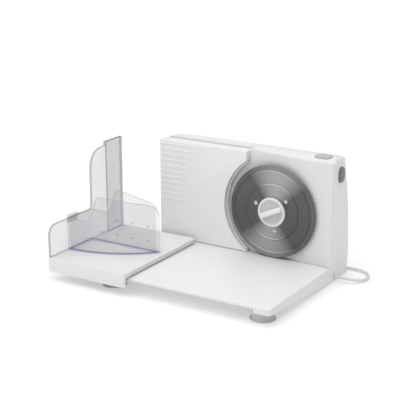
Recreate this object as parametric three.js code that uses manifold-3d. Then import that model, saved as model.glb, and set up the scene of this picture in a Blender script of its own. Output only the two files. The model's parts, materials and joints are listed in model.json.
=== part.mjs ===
// Household food slicer: a white base with an upright motor housing, a thickness plate, a round
// serrated blade with a lock knob, a sliding food carriage with a clear wall, and a clear food pusher.
// Millimetres, +Z up, +X to the user's right, +Y away from the user.
import * as THREE from 'three';
import { mergeVertices } from 'three/addons/utils/BufferGeometryUtils.js';
import Module from 'manifold-3d';

const wasm = await Module();
wasm.setup();

// Walls and clearances
const wall = 3;
const gap = 0.3;
const slideClear = 0.5;
const arcSteps = 30;
const curveSteps = 10;
const cornerSteps = 4;
const boltSteps = 12;

// Base
const baseLength = 354;
const tableDepth = 223;
const housingDepth = 78;
const baseFrontHeight = 10.5;
const baseRearHeight = 28.5;
const baseWedge = 210;
const baseTopHeight = 31;
const baseCorner = 5;
const baseSkin = 3.5;
const baseCoverThickness = 2.5;
const railDepth = 16;
const railLeftBlock = 14;
const railRightBlock = 30;
const footRadius = 22;
const footTopRadius = 18;
const footHollow = 1;
const footStubRadius = 6;
const footStubHeight = 7;
const footInset = 29;
const footFrontInset = 33;
const footRearInset = 32;

// Housing
const housingHeight = 187;
const topCrown = 7.5;
const crownFront = 3;
const crownDepth = 39;
const housingTopDepth = 48.5;
const backLean = 3;
const backBulgeHeight = 120;
const archLeftRun = 70;
const archLeftDrop = 8;
const archRightRun = 20;
const archRightDrop = 7;
const faceSetback = 16;
const rimReach = 8;
const gaugeBay = 33.5;
const collarReach = 10.5;
const ventCount = 10;
const ventPitch = 6.9;
const ventHeight = 3;
const ventLength = 17;
const ventBow = 7;
const ventInset = 58;

// Blade and its drive
const hubInset = 113;
const bladeRadius = 85;
const bladeLift = 1.5;
const bladeProud = 5;
const bladeThickness = 2.2;
const scallopCount = 90;
const scallopDepth = 0.9;
const bladeBevel = 10;
const bladeDishRadius = 51;
const bladeDishDepth = 0.6;
const axleRadius = 6;
const rivetCircle = 35;
const rivetRadius = 2;
const rivetHeadRadius = 4;
const rivetHeadHeight = 1;
const toothModule = 2;
const bladeTeeth = 51;
const pinionTeeth = 12;
const pinionBearing = THREE.MathUtils.degToRad(62);
const gearWidth = 10;
const toothAddendum = 0.75;
const toothDedendum = 0.95;
const toothBacklash = 0.35;
const wellClear = 4.5;
const wellDepth = 15;
const wellFloor = 2.5;
const wheelTeeth = 34;
const wheelWidth = 10;
const wormStarts = 2;
const wormRadius = 6.5;
const wormLength = 34;
const drivePinRadius = 4;
const bridgeThickness = 3;
const bridgePostRadius = 5;
const bridgePostClear = 2.5;
const driveShaftRadius = 8;
const wheelDepth = 38;

// Lock knob
const lockKnobRadius = 27;
const lockKnobThickness = 5;
const lockGripHeight = 6;
const lockGripWidth = 10;
const lockGripSlant = THREE.MathUtils.degToRad(25);
const lockDishRim = 4;
const lockDishDepth = 2.2;

// Motor
const motorRadius = 22;
const motorBottom = 35;
const motorTop = 104;
const motorShaftRadius = 3;
const motorFanRadius = 19;
const motorFanHeight = 10;
const motorFanBlades = 8;
const standSkin = 3.5;

// Thickness plate and its knob
const gaugeLeft = 1;
const gaugeHubDistance = 56;
const gaugeRise = 1;
const gaugeLift = 1;
const gaugeDepth = 22;
const sliceGap = 16;
const ribCount = 11;
const ribPitch = 10.5;
const ribLowest = 77;
const ribHeight = 1;
const ribWidth = 2.4;
const ribArc = 189;
const gaugeKnobX = 75;
const gaugeKnobZ = 90;
const gaugeKnobRadius = 18.5;
const gaugeKnobLobes = 20;
const gaugeKnobDepth = 11;
const gaugeDialRadius = 22;
const gaugeDialDepth = 3;
const spindleRadius = 4;
const gaugeSlideWidth = 40;
const gaugeSlideHeight = 24;
const gaugeSlideReach = 46;

// Food carriage
const carriageLeft = -85;
const carriageOverhang = 10.5;
const carriageWidth = 167;
const carriageBladeGap = 2.5;
const carriageTop = 10;
const carriageSkin = 3;
const carriageThickness = 8;
const carriageLip = 25;
const carriageCorner = 4;
const tongueStart = 105;
const tongueLength = 55;
const tongueReach = 16;
const tongueThickness = 3;
const glideWidth = 8;
const glideInset = 36;
const wallThickness = 4;
const wallLow = 58;
const wallTall = 168;
const wallTab = 176;
const wallRise = 116;
const wallTabLength = 50;
const wallTabThickness = 6.5;
const wallInnerRound = 8;
const wallFrontRound = 22;
const wallTallRound = 40;
const wallSeat = 1.5;

// Food pusher
const pusherWall = 3.2;
const pusherWidth = 150;
const pusherSweep = THREE.MathUtils.degToRad(48);
const pusherLow = 55;
const pusherHigh = 104;
const pusherRight = 90;
const pusherShoulder = 38;
const pusherRound = 28;
const pusherLift = 1.2;
const pusherSeat = 54;
const hookInset = 8;
const hookLength = 29;
const hookDrop = 11;
const hookThickness = 3;
const studRadius = 2;
const studHeight = 4;
const studColumns = 4;
const studRows = 2;

// Buttons and switch
const safetyButtonInset = 29;
const safetyButtonSetback = 24;
const safetyButtonLength = 32;
const safetyButtonWidth = 20;
const safetyButtonProud = 2.8;
const powerButtonSetback = 35;
const powerButtonDrop = 25;
const powerButtonLength = 27;
const powerButtonWidth = 18;
const powerButtonProud = 5;
const buttonFlange = 2;
const buttonFlangeThickness = 3;
const buttonTravel = 2.5;
const switchWidth = 11;
const switchLength = 22;
const switchHeight = 20;

// Mains cord
const cordRadius = 2.6;
const cordExitSetback = 22;
const cordExitZ = -21.5;
const glandRadius = 3.8;
const glandTip = 3.2;
const glandLength = 9;
const glandFlange = 4.2;
const glandRings = 2;
const glandRingDepth = 0.4;
const coilInset = 164;
const coilSetback = 46;
const coilTurns = 2.5;
const coilMiddle = 29;
const coilPitch = 5.9;
const coilClimbDip = 0.8;
const coilLeadOut = 31;
const loopSteps = 24;
const loopSides = 6;
const tieWidth = 8;
const tieThickness = 0.8;
const tieClear = 0.45;
const plugLength = 36;
const plugWidth = 27;
const plugHeight = 15;
const plugNeck = 10;
const plugPinRadius = 2.2;
const plugPinLength = 19;
const plugPinSpacing = 18.6;

// Places worked out from the driving dimensions
const floorZ = -baseTopHeight;
const baseDepth = tableDepth + housingDepth;
const hubX = baseLength - hubInset;
const gaugeRight = hubX - gaugeHubDistance;
const safetyButtonX = baseLength - safetyButtonInset;
const safetyButtonY = tableDepth + safetyButtonSetback;
const powerButtonY = tableDepth + powerButtonSetback;
const powerButtonZ = housingHeight - powerButtonDrop;
const cordExitY = tableDepth + cordExitSetback;
const coilX = baseLength - coilInset;
const coilY = baseDepth + coilSetback;
const hubZ = bladeRadius + bladeLift;
const bladePlane = tableDepth - bladeProud;
const gaugeArc = bladeRadius + sliceGap;
const panelArc = gaugeArc - slideClear;
const gearPitchRadius = (toothModule * bladeTeeth) / 2;
const pinionPitchRadius = (toothModule * pinionTeeth) / 2;
const gearTip = gearPitchRadius + toothAddendum * toothModule;
const pinionTip = pinionPitchRadius + toothAddendum * toothModule;
const wellRadius = gearTip + wellClear;
const pocketRadius = pinionTip + wellClear / 2;
const pinionX = hubX + (gearPitchRadius + pinionPitchRadius) * Math.cos(pinionBearing);
const pinionZ = hubZ + (gearPitchRadius + pinionPitchRadius) * Math.sin(pinionBearing);
const wheelPitchRadius = (toothModule * wheelTeeth) / 2;
const wheelY = tableDepth + wheelDepth;
const motorX = pinionX + wheelPitchRadius + wormRadius;
const bladeBack = bladePlane + bladeThickness;
const gearFront = bladeBack + gap;
const gearBack = gearFront + gearWidth;
const wellFloorY = tableDepth + wellDepth;
const bayFrontY = tableDepth + gaugeBay;
const gaugeTop = housingHeight + gaugeRise;
const knobSeatY = baseDepth - backLean;
const knobRearY = knobSeatY + gap + gaugeDialDepth + gaugeKnobDepth;
const carriageFront = -carriageOverhang;
const carriageDepth = bladePlane - carriageBladeGap - carriageFront;
const leftEdge = carriageLeft - slideClear - hookThickness;
const originX = (leftEdge + baseLength + powerButtonProud) / 2;
const originY = (carriageFront + knobRearY) / 2;

// Solids from outlines
const smallest = 1e-4;

function solidOf(geometry) {
  geometry.deleteAttribute('normal');
  geometry.deleteAttribute('uv');
  const merged = mergeVertices(geometry, smallest);
  const kept = [];
  const source = merged.index.array;
  for (let i = 0; i < source.length; i += 3) {
    const [a, b, c] = [source[i], source[i + 1], source[i + 2]];
    if (a !== b && b !== c && c !== a) kept.push(a, b, c);
  }
  const mesh = new wasm.Mesh({
    numProp: 3,
    vertProperties: new Float32Array(merged.attributes.position.array),
    triVerts: new Uint32Array(kept),
  });
  return new wasm.Manifold(mesh);
}

function join(first, ...others) {
  return others.reduce((sum, other) => sum.add(other), first);
}

function cut(solid, ...tools) {
  return tools.reduce((rest, tool) => rest.subtract(tool), solid);
}

function extrusion(shape, depth, steps = 1, curveSegments = curveSteps) {
  return new THREE.ExtrudeGeometry(shape, { depth, steps, curveSegments, bevelEnabled: false });
}

// Upright prism of a plan outline (x, y).
function prismZ(shape, z0, z1) {
  return solidOf(extrusion(shape, z1 - z0).translate(0, 0, z0));
}

// Prism of a front outline (x, z), running from front to back.
function prismY(shape, y0, y1, curveSegments = curveSteps) {
  const geometry = extrusion(shape, y1 - y0, 1, curveSegments);
  return solidOf(geometry.rotateX(Math.PI / 2).translate(0, y1, 0));
}

// Prism of a side outline (y, z), running from left to right.
const sideTurn = new THREE.Matrix4().set(0, 0, 1, 0, 1, 0, 0, 0, 0, 1, 0, 0, 0, 0, 0, 1);

function prismX(shape, x0, x1) {
  return solidOf(extrusion(shape, x1 - x0).applyMatrix4(sideTurn).translate(x0, 0, 0));
}

function box(x0, x1, y0, y1, z0, z1) {
  const middle = [(x0 + x1) / 2, (y0 + y1) / 2, (z0 + z1) / 2];
  return solidOf(new THREE.BoxGeometry(x1 - x0, y1 - y0, z1 - z0).translate(...middle));
}

function outline(points) {
  return new THREE.Shape(points.map(([a, b]) => new THREE.Vector2(a, b)));
}

function roundPin(a, b, radius, steps) {
  const points = [];
  for (let i = 0; i < steps; i += 1) {
    const angle = (2 * Math.PI * i) / steps;
    points.push([a + radius * Math.cos(angle), b + radius * Math.sin(angle)]);
  }
  return outline(points);
}

function circle(a, b, radius) {
  return roundPin(a, b, radius, arcSteps);
}

function roundedRect(a0, a1, b0, b1, radius) {
  const corners = [
    [a1 - radius, b0 + radius],
    [a1 - radius, b1 - radius],
    [a0 + radius, b1 - radius],
    [a0 + radius, b0 + radius],
  ];
  const points = [];
  corners.forEach(([a, b], corner) => {
    for (let i = 0; i <= cornerSteps; i += 1) {
      const angle = ((corner - 1 + i / cornerSteps) * Math.PI) / 2;
      points.push([a + radius * Math.cos(angle), b + radius * Math.sin(angle)]);
    }
  });
  return outline(points);
}

// Solid of revolution about the local axis: profile points are [radius, height] from the bottom up.
function turned(profile, steps) {
  const points = profile.map(([radius, height]) => new THREE.Vector2(radius, height));
  return new THREE.LatheGeometry(points, steps);
}

function turnedX(profile, y, z, steps) {
  return solidOf(turned(profile, steps).rotateZ(-Math.PI / 2).translate(0, y, z));
}

function turnedY(profile, x, z, steps) {
  return solidOf(turned(profile, steps).translate(x, 0, z));
}

function turnedZ(profile, x, y, steps) {
  return solidOf(turned(profile, steps).rotateX(Math.PI / 2).translate(x, y, 0));
}

// Spur gear outline with involute flanks; one tooth is centred on the given bearing.
function gearOutline(teeth, bearing) {
  const pitchRadius = (toothModule * teeth) / 2;
  const pressure = THREE.MathUtils.degToRad(20);
  const involute = (angle) => Math.tan(angle) - angle;
  const baseRadius = pitchRadius * Math.cos(pressure);
  const rootRadius = pitchRadius - toothDedendum * toothModule;
  const tipRadius = pitchRadius + toothAddendum * toothModule;
  const halfAtPitch = (Math.PI * toothModule * 0.5 - toothBacklash) / (2 * pitchRadius);
  const halfAt = (radius) => {
    const angle = Math.acos(Math.min(1, baseRadius / radius));
    return halfAtPitch + involute(pressure) - involute(angle);
  };
  const radii = [rootRadius, pitchRadius, tipRadius];
  const points = [];
  for (let tooth = 0; tooth < teeth; tooth += 1) {
    const middle = bearing + (2 * Math.PI * tooth) / teeth;
    for (const radius of radii) {
      const angle = middle - halfAt(Math.max(radius, baseRadius));
      points.push([radius * Math.cos(angle), radius * Math.sin(angle)]);
    }
    for (const radius of [...radii].reverse()) {
      const angle = middle + halfAt(Math.max(radius, baseRadius));
      points.push([radius * Math.cos(angle), radius * Math.sin(angle)]);
    }
  }
  return outline(points);
}

// Turns a prism's vertices about its own axis in proportion to their height.
function twisted(geometry, height, turn) {
  const position = geometry.attributes.position;
  for (let i = 0; i < position.count; i += 1) {
    const angle = (turn * position.getZ(i)) / height;
    const [x, y] = [position.getX(i), position.getY(i)];
    position.setX(i, x * Math.cos(angle) - y * Math.sin(angle));
    position.setY(i, x * Math.sin(angle) + y * Math.cos(angle));
  }
  return geometry;
}

// Scene graph
const slicer = new THREE.Group();
const machine = new THREE.Group();
machine.position.set(-originX, -originY, baseTopHeight);
slicer.add(machine);

const finishes = {
  whitePlastic: { color: 0xeceded, roughness: 0.38, metalness: 0 },
  innerPlastic: { color: 0xd9dad6, roughness: 0.5, metalness: 0 },
  greyButton: { color: 0x8f9294, roughness: 0.45, metalness: 0 },
  greyRubber: { color: 0xa9aaa9, roughness: 0.8, metalness: 0 },
  bladeSteel: { color: 0x8a8a8a, roughness: 0.28, metalness: 1 },
  brightSteel: { color: 0xb8babb, roughness: 0.3, metalness: 1 },
  gearPlastic: { color: 0xe6e4da, roughness: 0.45, metalness: 0 },
  clearPlastic: { color: 0xd9dcec, roughness: 0.08, metalness: 0, transparent: true, opacity: 0.35 },
  motorPaint: { color: 0x55585a, roughness: 0.5, metalness: 0.6 },
  blackPlastic: { color: 0x2a2b2c, roughness: 0.55, metalness: 0 },
  cordVinyl: { color: 0xd6d7d6, roughness: 0.5, metalness: 0 },
  brassPin: { color: 0xc8b273, roughness: 0.3, metalness: 1 },
};

function addPiece(group, name, solid, finish) {
  const raw = solid.getMesh();
  const geometry = new THREE.BufferGeometry();
  geometry.setAttribute('position', new THREE.BufferAttribute(new Float32Array(raw.vertProperties), 3));
  geometry.setIndex(new THREE.BufferAttribute(new Uint32Array(raw.triVerts), 1));
  geometry.computeVertexNormals();
  const mesh = new THREE.Mesh(geometry, new THREE.MeshStandardMaterial(finishes[finish]));
  mesh.name = name;
  group.add(mesh);
}

// Base: a shallow tray whose underside falls towards the back and ends level, closed by a cover
const baseFall = (baseRearHeight - baseFrontHeight) / baseWedge;
const undersideZ = (y) => -baseFrontHeight - baseFall * Math.min(y, baseWedge);
const beyond = 10;

function belowUnderside(lift) {
  const deep = floorZ - beyond;
  return prismX(
    outline([
      [-beyond, deep],
      [baseDepth + beyond, deep],
      [baseDepth + beyond, undersideZ(baseDepth + beyond) + lift],
      [baseWedge, undersideZ(baseWedge) + lift],
      [-beyond, undersideZ(-beyond) + lift],
    ]),
    -beyond,
    baseLength + beyond,
  );
}

const trayFront = railDepth + wall;
const trayBack = baseDepth - wall;
const basePlan = roundedRect(0, baseLength, 0, baseDepth, baseCorner);
const baseBlock = prismZ(basePlan, -baseRearHeight, 0);
const railSlot = box(railLeftBlock, baseLength - railRightBlock, -1, railDepth, floorZ, -baseSkin);
const trayHollow = box(wall, baseLength - wall, trayFront, trayBack, floorZ, -baseSkin);
const cordHole = prismX(
  roundPin(cordExitY, cordExitZ, glandRadius + gap, boltSteps),
  baseLength - wall - 1,
  baseLength + 1,
);
addPiece(
  machine,
  'base_plate',
  cut(baseBlock, belowUnderside(0), railSlot, trayHollow, cordHole),
  'whitePlastic',
);

const footPlaces = {
  foot_front_left: [footInset, footFrontInset],
  foot_front_right: [baseLength - footInset, footFrontInset],
  foot_rear_left: [footInset, baseDepth - footRearInset],
  foot_rear_right: [baseLength - footInset, baseDepth - footRearInset],
};
const footStubHoles = Object.values(footPlaces).map(([x, y]) => {
  return prismZ(roundPin(x, y, footStubRadius + gap, boltSteps), floorZ, 0);
});
const coverBlock = box(
  wall + gap,
  baseLength - wall - gap,
  trayFront + gap,
  trayBack - gap,
  -baseRearHeight,
  -baseSkin - gap,
);
const coverSlab = cut(belowUnderside(baseCoverThickness), belowUnderside(0)).intersect(coverBlock);
addPiece(machine, 'base_cover', cut(coverSlab, ...footStubHoles), 'whitePlastic');

for (const [name, [x, y]] of Object.entries(footPlaces)) {
  const cupProfile = [
    [0, floorZ + footHollow],
    [footRadius - 3 * footHollow, floorZ + footHollow],
    [footRadius - 2 * footHollow, floorZ],
    [footRadius, floorZ],
    [footRadius, floorZ + footHollow],
    [footTopRadius, floorZ + 3 * footHollow],
    [footTopRadius, -baseSkin],
    [0, -baseSkin],
  ];
  const cup = turnedZ(cupProfile, x, y, 2 * boltSteps).intersect(belowUnderside(-gap));
  const stubTop = undersideZ(y) + footStubHeight;
  const stub = prismZ(roundPin(x, y, footStubRadius, boltSteps), floorZ + 2 * footHollow, stubTop);
  addPiece(machine, name, join(cup, stub), 'greyRubber');
}

// Side outline of the housing: a leaning, bulging back and a crowned top
const crownTop = housingHeight + topCrown;
const crownStart = tableDepth + crownFront;
const crownEnd = tableDepth + crownDepth;
const topBackY = tableDepth + housingTopDepth;
const topZ = (y) => crownTop - topCrown * ((crownEnd - y) / (crownEnd - crownStart)) ** 2;

function backOutline(inset) {
  const shape = new THREE.Shape();
  const [low, top, front] = [housingHeight - inset, crownTop - inset, tableDepth - beyond];
  shape.moveTo(front, inset ? -beyond : gap);
  shape.lineTo(baseDepth - inset, inset ? -beyond : gap);
  shape.quadraticCurveTo(baseDepth - backLean - inset, backBulgeHeight, topBackY - inset, low);
  shape.quadraticCurveTo(topBackY - crownFront - inset, top, crownEnd - inset, top);
  shape.quadraticCurveTo((crownEnd + crownStart) / 2, top, crownStart, low);
  shape.lineTo(front, low);
  return shape;
}

// Front outline of the housing: an arched top, longer on the left than on the right
function archOutline(inset) {
  const [left, right, top] = [inset, baseLength - inset, crownTop - inset];
  const shape = new THREE.Shape();
  shape.moveTo(left, -beyond);
  shape.lineTo(right, -beyond);
  shape.lineTo(right, top - archRightDrop);
  shape.quadraticCurveTo(right, top, right - archRightRun, top);
  shape.lineTo(left + archLeftRun, top);
  shape.quadraticCurveTo(left + archLeftRun / 3, top, left, top - archLeftDrop);
  return shape;
}

const housingBlock = (inset) => {
  const arch = prismY(archOutline(inset), tableDepth - beyond, baseDepth + beyond);
  return prismX(backOutline(inset), 0, baseLength).intersect(arch);
};

// Front panel: the slanting face behind the blade, with its vents, and the gear well set into it
const panelLeft = hubX - panelArc;
const faceY = (x) => tableDepth + (faceSetback * (baseLength - x)) / (baseLength - panelLeft);

function behindFace(offset, thickness) {
  const left = panelLeft - beyond;
  const plan = outline([
    [left, faceY(left) + offset],
    [baseLength, faceY(baseLength) + offset],
    [baseLength, faceY(baseLength) + offset + thickness],
    [left, faceY(left) + offset + thickness],
  ]);
  return prismZ(plan, gap, crownTop + beyond);
}

const panelTopLeft = gaugeRight + slideClear;
const arcAngles = (radius, right, bottom) => {
  const low = -Math.sqrt(radius ** 2 - (hubZ - bottom) ** 2);
  const high = Math.sqrt(radius ** 2 - (hubX - right) ** 2);
  return {
    lowX: hubX + low,
    highZ: hubZ + high,
    lowAngle: Math.atan2(bottom - hubZ, low),
    highAngle: Math.atan2(high, right - hubX),
  };
};

function panelOutline(radius) {
  const arc = arcAngles(radius, panelTopLeft, gap);
  const shape = new THREE.Shape();
  shape.moveTo(arc.lowX, gap);
  shape.lineTo(baseLength, gap);
  shape.lineTo(baseLength, crownTop);
  shape.lineTo(panelTopLeft, crownTop);
  shape.absarc(hubX, hubZ, radius, arc.highAngle, arc.lowAngle, false);
  return shape;
}

function nearFace(shape, y1) {
  return prismY(shape, bladePlane - beyond, y1, arcSteps);
}

const panelReach = tableDepth + faceSetback + 2 * wall;
const panelSheet = behindFace(0, wall)
  .intersect(nearFace(panelOutline(panelArc), panelReach))
  .intersect(housingBlock(0));
const panelRim = cut(
  nearFace(panelOutline(panelArc), tableDepth + faceSetback + wall),
  nearFace(panelOutline(panelArc - wall), panelReach),
  box(panelTopLeft, baseLength + 1, 0, panelReach, 0, crownTop + 1),
).intersect(behindFace(-rimReach, rimReach + wall));
const cupBack = wellFloorY + wellFloor;
const cupShape = (grow, y1) => {
  return join(
    nearFace(circle(hubX, hubZ, wellRadius + wellFloor + grow), y1),
    nearFace(circle(pinionX, pinionZ, pocketRadius + wellFloor + grow), y1),
  );
};
const cupBlock = cupShape(0, cupBack).intersect(behindFace(0, faceSetback + beyond));
const wellHollow = nearFace(circle(hubX, hubZ, wellRadius), wellFloorY);
const pinionWindow = nearFace(circle(pinionX, pinionZ, pocketRadius), cupBack + 1);
const bossRadius = axleRadius + 2 * wall;
const bossFront = gearBack + wellFloor;
const hubBoss = prismY(circle(hubX, hubZ, bossRadius), bossFront, cupBack + wall);
const axleBore = nearFace(roundPin(hubX, hubZ, axleRadius + gap, boltSteps), cupBack + beyond);

const ventSlots = [];
for (let i = 0; i < ventCount; i += 1) {
  const share = (2 * i) / (ventCount - 1) - 1;
  const z = hubZ + (share * ventPitch * (ventCount - 1)) / 2;
  const left = hubX + ventInset + ventBow * (1 - share ** 2);
  ventSlots.push(box(left, left + ventLength, 0, panelReach, z - ventHeight / 2, z + ventHeight / 2));
}
addPiece(
  machine,
  'front_panel',
  cut(join(panelSheet, panelRim), cupShape(gap, cupBack), ...ventSlots),
  'whitePlastic',
);
addPiece(
  machine,
  'gear_well',
  cut(join(cut(cupBlock, wellHollow, pinionWindow), hubBoss), axleBore),
  'whitePlastic',
);

// Outline of the thickness plate: its concave edge follows the blade
function gaugeOutline(inset) {
  const right = gaugeRight - inset;
  const bottom = gaugeLift + inset;
  const arc = arcAngles(gaugeArc + inset, right, bottom);
  const shape = new THREE.Shape();
  shape.moveTo(gaugeLeft + inset, bottom);
  shape.lineTo(arc.lowX, bottom);
  shape.absarc(hubX, hubZ, gaugeArc + inset, arc.lowAngle, arc.highAngle, true);
  shape.lineTo(right, gaugeTop - inset);
  shape.lineTo(gaugeLeft + inset, gaugeTop - inset);
  return shape;
}

// Rear shell: one moulding over the motor and the thickness mechanism
function shellPlan(inset, front) {
  const bayRight = panelTopLeft + 2 * wall + inset;
  const panelBack = wall + gap - front;
  const bayFront = bayFrontY + inset;
  return outline([
    [inset, bayFront],
    [bayRight, bayFront],
    [bayRight, faceY(bayRight) + panelBack],
    [baseLength - inset, faceY(baseLength - inset) + panelBack],
    [baseLength - inset, baseDepth + beyond],
    [inset, baseDepth + beyond],
  ]);
}

const shellOuter = housingBlock(0).intersect(prismZ(shellPlan(0, 0), 0, crownTop + 1));
const shellInner = housingBlock(wall).intersect(prismZ(shellPlan(wall, 2 * beyond), -beyond, crownTop));
const bayEdge = panelTopLeft + 2 * wall;
const bayEase = (inset) => {
  const slope = outline([
    [bayFrontY - 1, gaugeTop - inset],
    [bayFrontY + inset, gaugeTop - inset],
    [crownEnd + inset, crownTop + 1 - inset],
    [bayFrontY - 1, crownTop + beyond],
  ]);
  return prismX(slope, -1, bayEdge);
};
const knobBoss = prismY(circle(gaugeKnobX, gaugeKnobZ, gaugeDialRadius + 1), knobSeatY - beyond, knobSeatY);
const spindleHole = prismY(
  roundPin(gaugeKnobX, gaugeKnobZ, spindleRadius + gap, boltSteps),
  bayFrontY,
  knobRearY,
);
const collarStart = bayFrontY - collarReach;
const collarInset = wall + slideClear;
const collar = cut(
  prismY(gaugeOutline(collarInset), collarStart, bayFrontY + 1, arcSteps),
  prismY(gaugeOutline(collarInset + wall), collarStart - 1, bayFrontY + 2, arcSteps),
);
const slideWindow = box(
  gaugeKnobX - gaugeSlideWidth / 2 - slideClear,
  gaugeKnobX + gaugeSlideWidth / 2 + slideClear,
  bayFrontY - 1,
  bayFrontY + wall + 1,
  gaugeKnobZ - gaugeSlideHeight / 2 - slideClear,
  gaugeKnobZ + gaugeSlideHeight / 2 + slideClear,
);

// Oval of a push button: long axis first
function oval(a, b, length, width, grow) {
  const radius = width / 2 + grow;
  const half = (length - width) / 2;
  const shape = new THREE.Shape();
  shape.absarc(a + half, b, radius, -Math.PI / 2, Math.PI / 2, false);
  shape.absarc(a - half, b, radius, Math.PI / 2, (3 * Math.PI) / 2, false);
  return shape;
}

function uprightOval(a, b, length, width, grow) {
  const radius = width / 2 + grow;
  const half = (length - width) / 2;
  const shape = new THREE.Shape();
  shape.absarc(a, b + half, radius, 0, Math.PI, false);
  shape.absarc(a, b - half, radius, Math.PI, 2 * Math.PI, false);
  return shape;
}

const safetyOval = (grow) => {
  return oval(safetyButtonX, safetyButtonY, safetyButtonLength, safetyButtonWidth, grow);
};
const powerOval = (grow) => {
  return uprightOval(powerButtonY, powerButtonZ, powerButtonLength, powerButtonWidth, grow);
};
const safetyHole = prismZ(safetyOval(slideClear), housingHeight - wall - 1, crownTop + 1);
const powerHole = prismX(powerOval(slideClear), baseLength - wall - 1, baseLength + 1);
addPiece(
  machine,
  'rear_shell',
  cut(
    join(cut(shellOuter, bayEase(0), cut(shellInner, bayEase(wall))), knobBoss, collar),
    cupShape(gap, cupBack + gap),
    spindleHole,
    slideWindow,
    safetyHole,
    powerHole,
  ),
  'whitePlastic',
);

// Push buttons with a retaining flange inside the shell, and the switch that they work
const safetyFlangeFront = safetyButtonY - safetyButtonWidth / 2 - buttonFlange;
const safetyFlangeTop = topZ(safetyFlangeFront) - wall - 2 * gap;
const safetyCap = prismZ(safetyOval(0), safetyFlangeTop - 1, topZ(safetyButtonY) + safetyButtonProud);
const safetyFlange = prismZ(
  safetyOval(buttonFlange),
  safetyFlangeTop - buttonFlangeThickness,
  safetyFlangeTop,
);
addPiece(machine, 'safety_button', join(safetyCap, safetyFlange), 'greyButton');

const powerFlangeRight = baseLength - wall - gap;
const powerCap = prismX(powerOval(0), powerFlangeRight - 1, baseLength + powerButtonProud);
const powerFlange = prismX(
  powerOval(buttonFlange),
  powerFlangeRight - buttonFlangeThickness,
  powerFlangeRight,
);
addPiece(machine, 'power_button', join(powerCap, powerFlange), 'greyButton');

const switchRight = powerFlangeRight - buttonFlangeThickness - buttonTravel - slideClear;
const switchTop = safetyFlangeTop - buttonFlangeThickness - buttonTravel - slideClear;
addPiece(
  machine,
  'switch_block',
  box(
    switchRight - switchWidth,
    switchRight,
    powerButtonY - switchLength / 2,
    powerButtonY + switchLength / 2,
    switchTop - switchHeight,
    switchTop,
  ),
  'blackPlastic',
);

// Blade: a thin bevelled disc with a scalloped rim and a shallow dish round the lock knob
const blade = new THREE.Group();
blade.position.set(hubX, bladePlane, hubZ);
machine.add(blade);

const boreRadius = axleRadius + gap;
const dishFront = bladeDishDepth;
const rimFront = bladeThickness * 0.7;
const bladeProfile = [
  [bladeRadius, bladeThickness],
  [boreRadius, bladeThickness],
  [boreRadius, dishFront],
  [bladeDishRadius, dishFront],
  [bladeDishRadius + 1, 0],
  [bladeRadius - bladeBevel, 0],
  [bladeRadius, rimFront],
  [bladeRadius, bladeThickness],
];

function scalloped(geometry) {
  const position = geometry.attributes.position;
  for (let i = 0; i < position.count; i += 1) {
    const [x, z] = [position.getX(i), position.getZ(i)];
    const radius = Math.hypot(x, z);
    if (radius > bladeRadius - bladeBevel / 2) {
      const wave = 0.5 - 0.5 * Math.cos(scallopCount * Math.atan2(z, x));
      const scale = (radius - scallopDepth * wave) / radius;
      position.setX(i, x * scale);
      position.setZ(i, z * scale);
    }
  }
  return geometry;
}

const scallopSteps = 2;
const bladeBlank = solidOf(scalloped(turned(bladeProfile, scallopSteps * scallopCount)));
const rivetBearings = [41, 160, 279].map(THREE.MathUtils.degToRad);
const rivetPlaces = rivetBearings.map((bearing) => {
  return [rivetCircle * Math.cos(bearing), rivetCircle * Math.sin(bearing)];
});
const rivetHoles = rivetPlaces.map(([x, z]) => {
  return prismY(roundPin(x, z, rivetRadius + gap, boltSteps), -beyond, gearWidth);
});
addPiece(blade, 'blade_disc', cut(bladeBlank, ...rivetHoles), 'bladeSteel');

const gearLocalFront = bladeThickness + gap;
const gearLocalBack = gearLocalFront + gearWidth;
const webThickness = 3;
const gapFacingPinion = pinionBearing + Math.PI / bladeTeeth;
const gearBlank = prismY(gearOutline(bladeTeeth, gapFacingPinion), gearLocalFront, gearLocalBack);
const gearPocket = cut(
  prismY(circle(0, 0, gearPitchRadius - 3 * toothModule), gearLocalFront + webThickness, gearLocalBack + 1),
  prismY(circle(0, 0, bossRadius), gearLocalFront, gearLocalBack + 2),
);
const gearBore = prismY(roundPin(0, 0, boreRadius, boltSteps), 0, gearLocalBack + 1);
addPiece(blade, 'blade_gear', cut(gearBlank, gearPocket, gearBore, ...rivetHoles), 'gearPlastic');

rivetPlaces.forEach(([x, z], i) => {
  const headBack = dishFront - gap;
  const profile = [
    [0, headBack - rivetHeadHeight],
    [rivetHeadRadius * 0.6, headBack - rivetHeadHeight],
    [rivetHeadRadius, headBack],
    [rivetRadius, headBack],
    [rivetRadius, gearLocalFront + webThickness + 1],
    [0, gearLocalFront + webThickness + 1],
  ];
  addPiece(blade, `blade_rivet_${i + 1}`, turnedY(profile, x, z, boltSteps), 'brightSteel');
});

// Lock knob in the middle of the blade, with a slanting grip bar
const lockKnob = new THREE.Group();
blade.add(lockKnob);
const knobBack = dishFront - gap;
const knobFront = knobBack - lockKnobThickness;
const axleTip = knobBack - lockKnobThickness * 0.3;
const knobDome = turnedY(
  [
    [0, knobFront],
    [lockKnobRadius - 3, knobFront],
    [lockKnobRadius - 0.8, knobFront + 1.2],
    [lockKnobRadius, knobFront + 3],
    [lockKnobRadius, knobBack],
    [0, knobBack],
  ],
  0,
  0,
  2 * arcSteps,
);
const gripLength = 2 * (lockKnobRadius - 3);
const gripOutline = roundedRect(
  -gripLength / 2,
  gripLength / 2,
  -lockGripWidth / 2,
  lockGripWidth / 2,
  lockGripWidth * 0.45,
);
const gripBar = solidOf(
  extrusion(gripOutline, lockGripHeight + lockDishDepth + gap)
    .rotateX(Math.PI / 2)
    .translate(0, knobFront + lockDishDepth + gap, 0)
    .rotateY(-lockGripSlant),
);
const knobBore = prismY(roundPin(0, 0, boreRadius, boltSteps), axleTip - gap, knobBack + 1);
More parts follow.
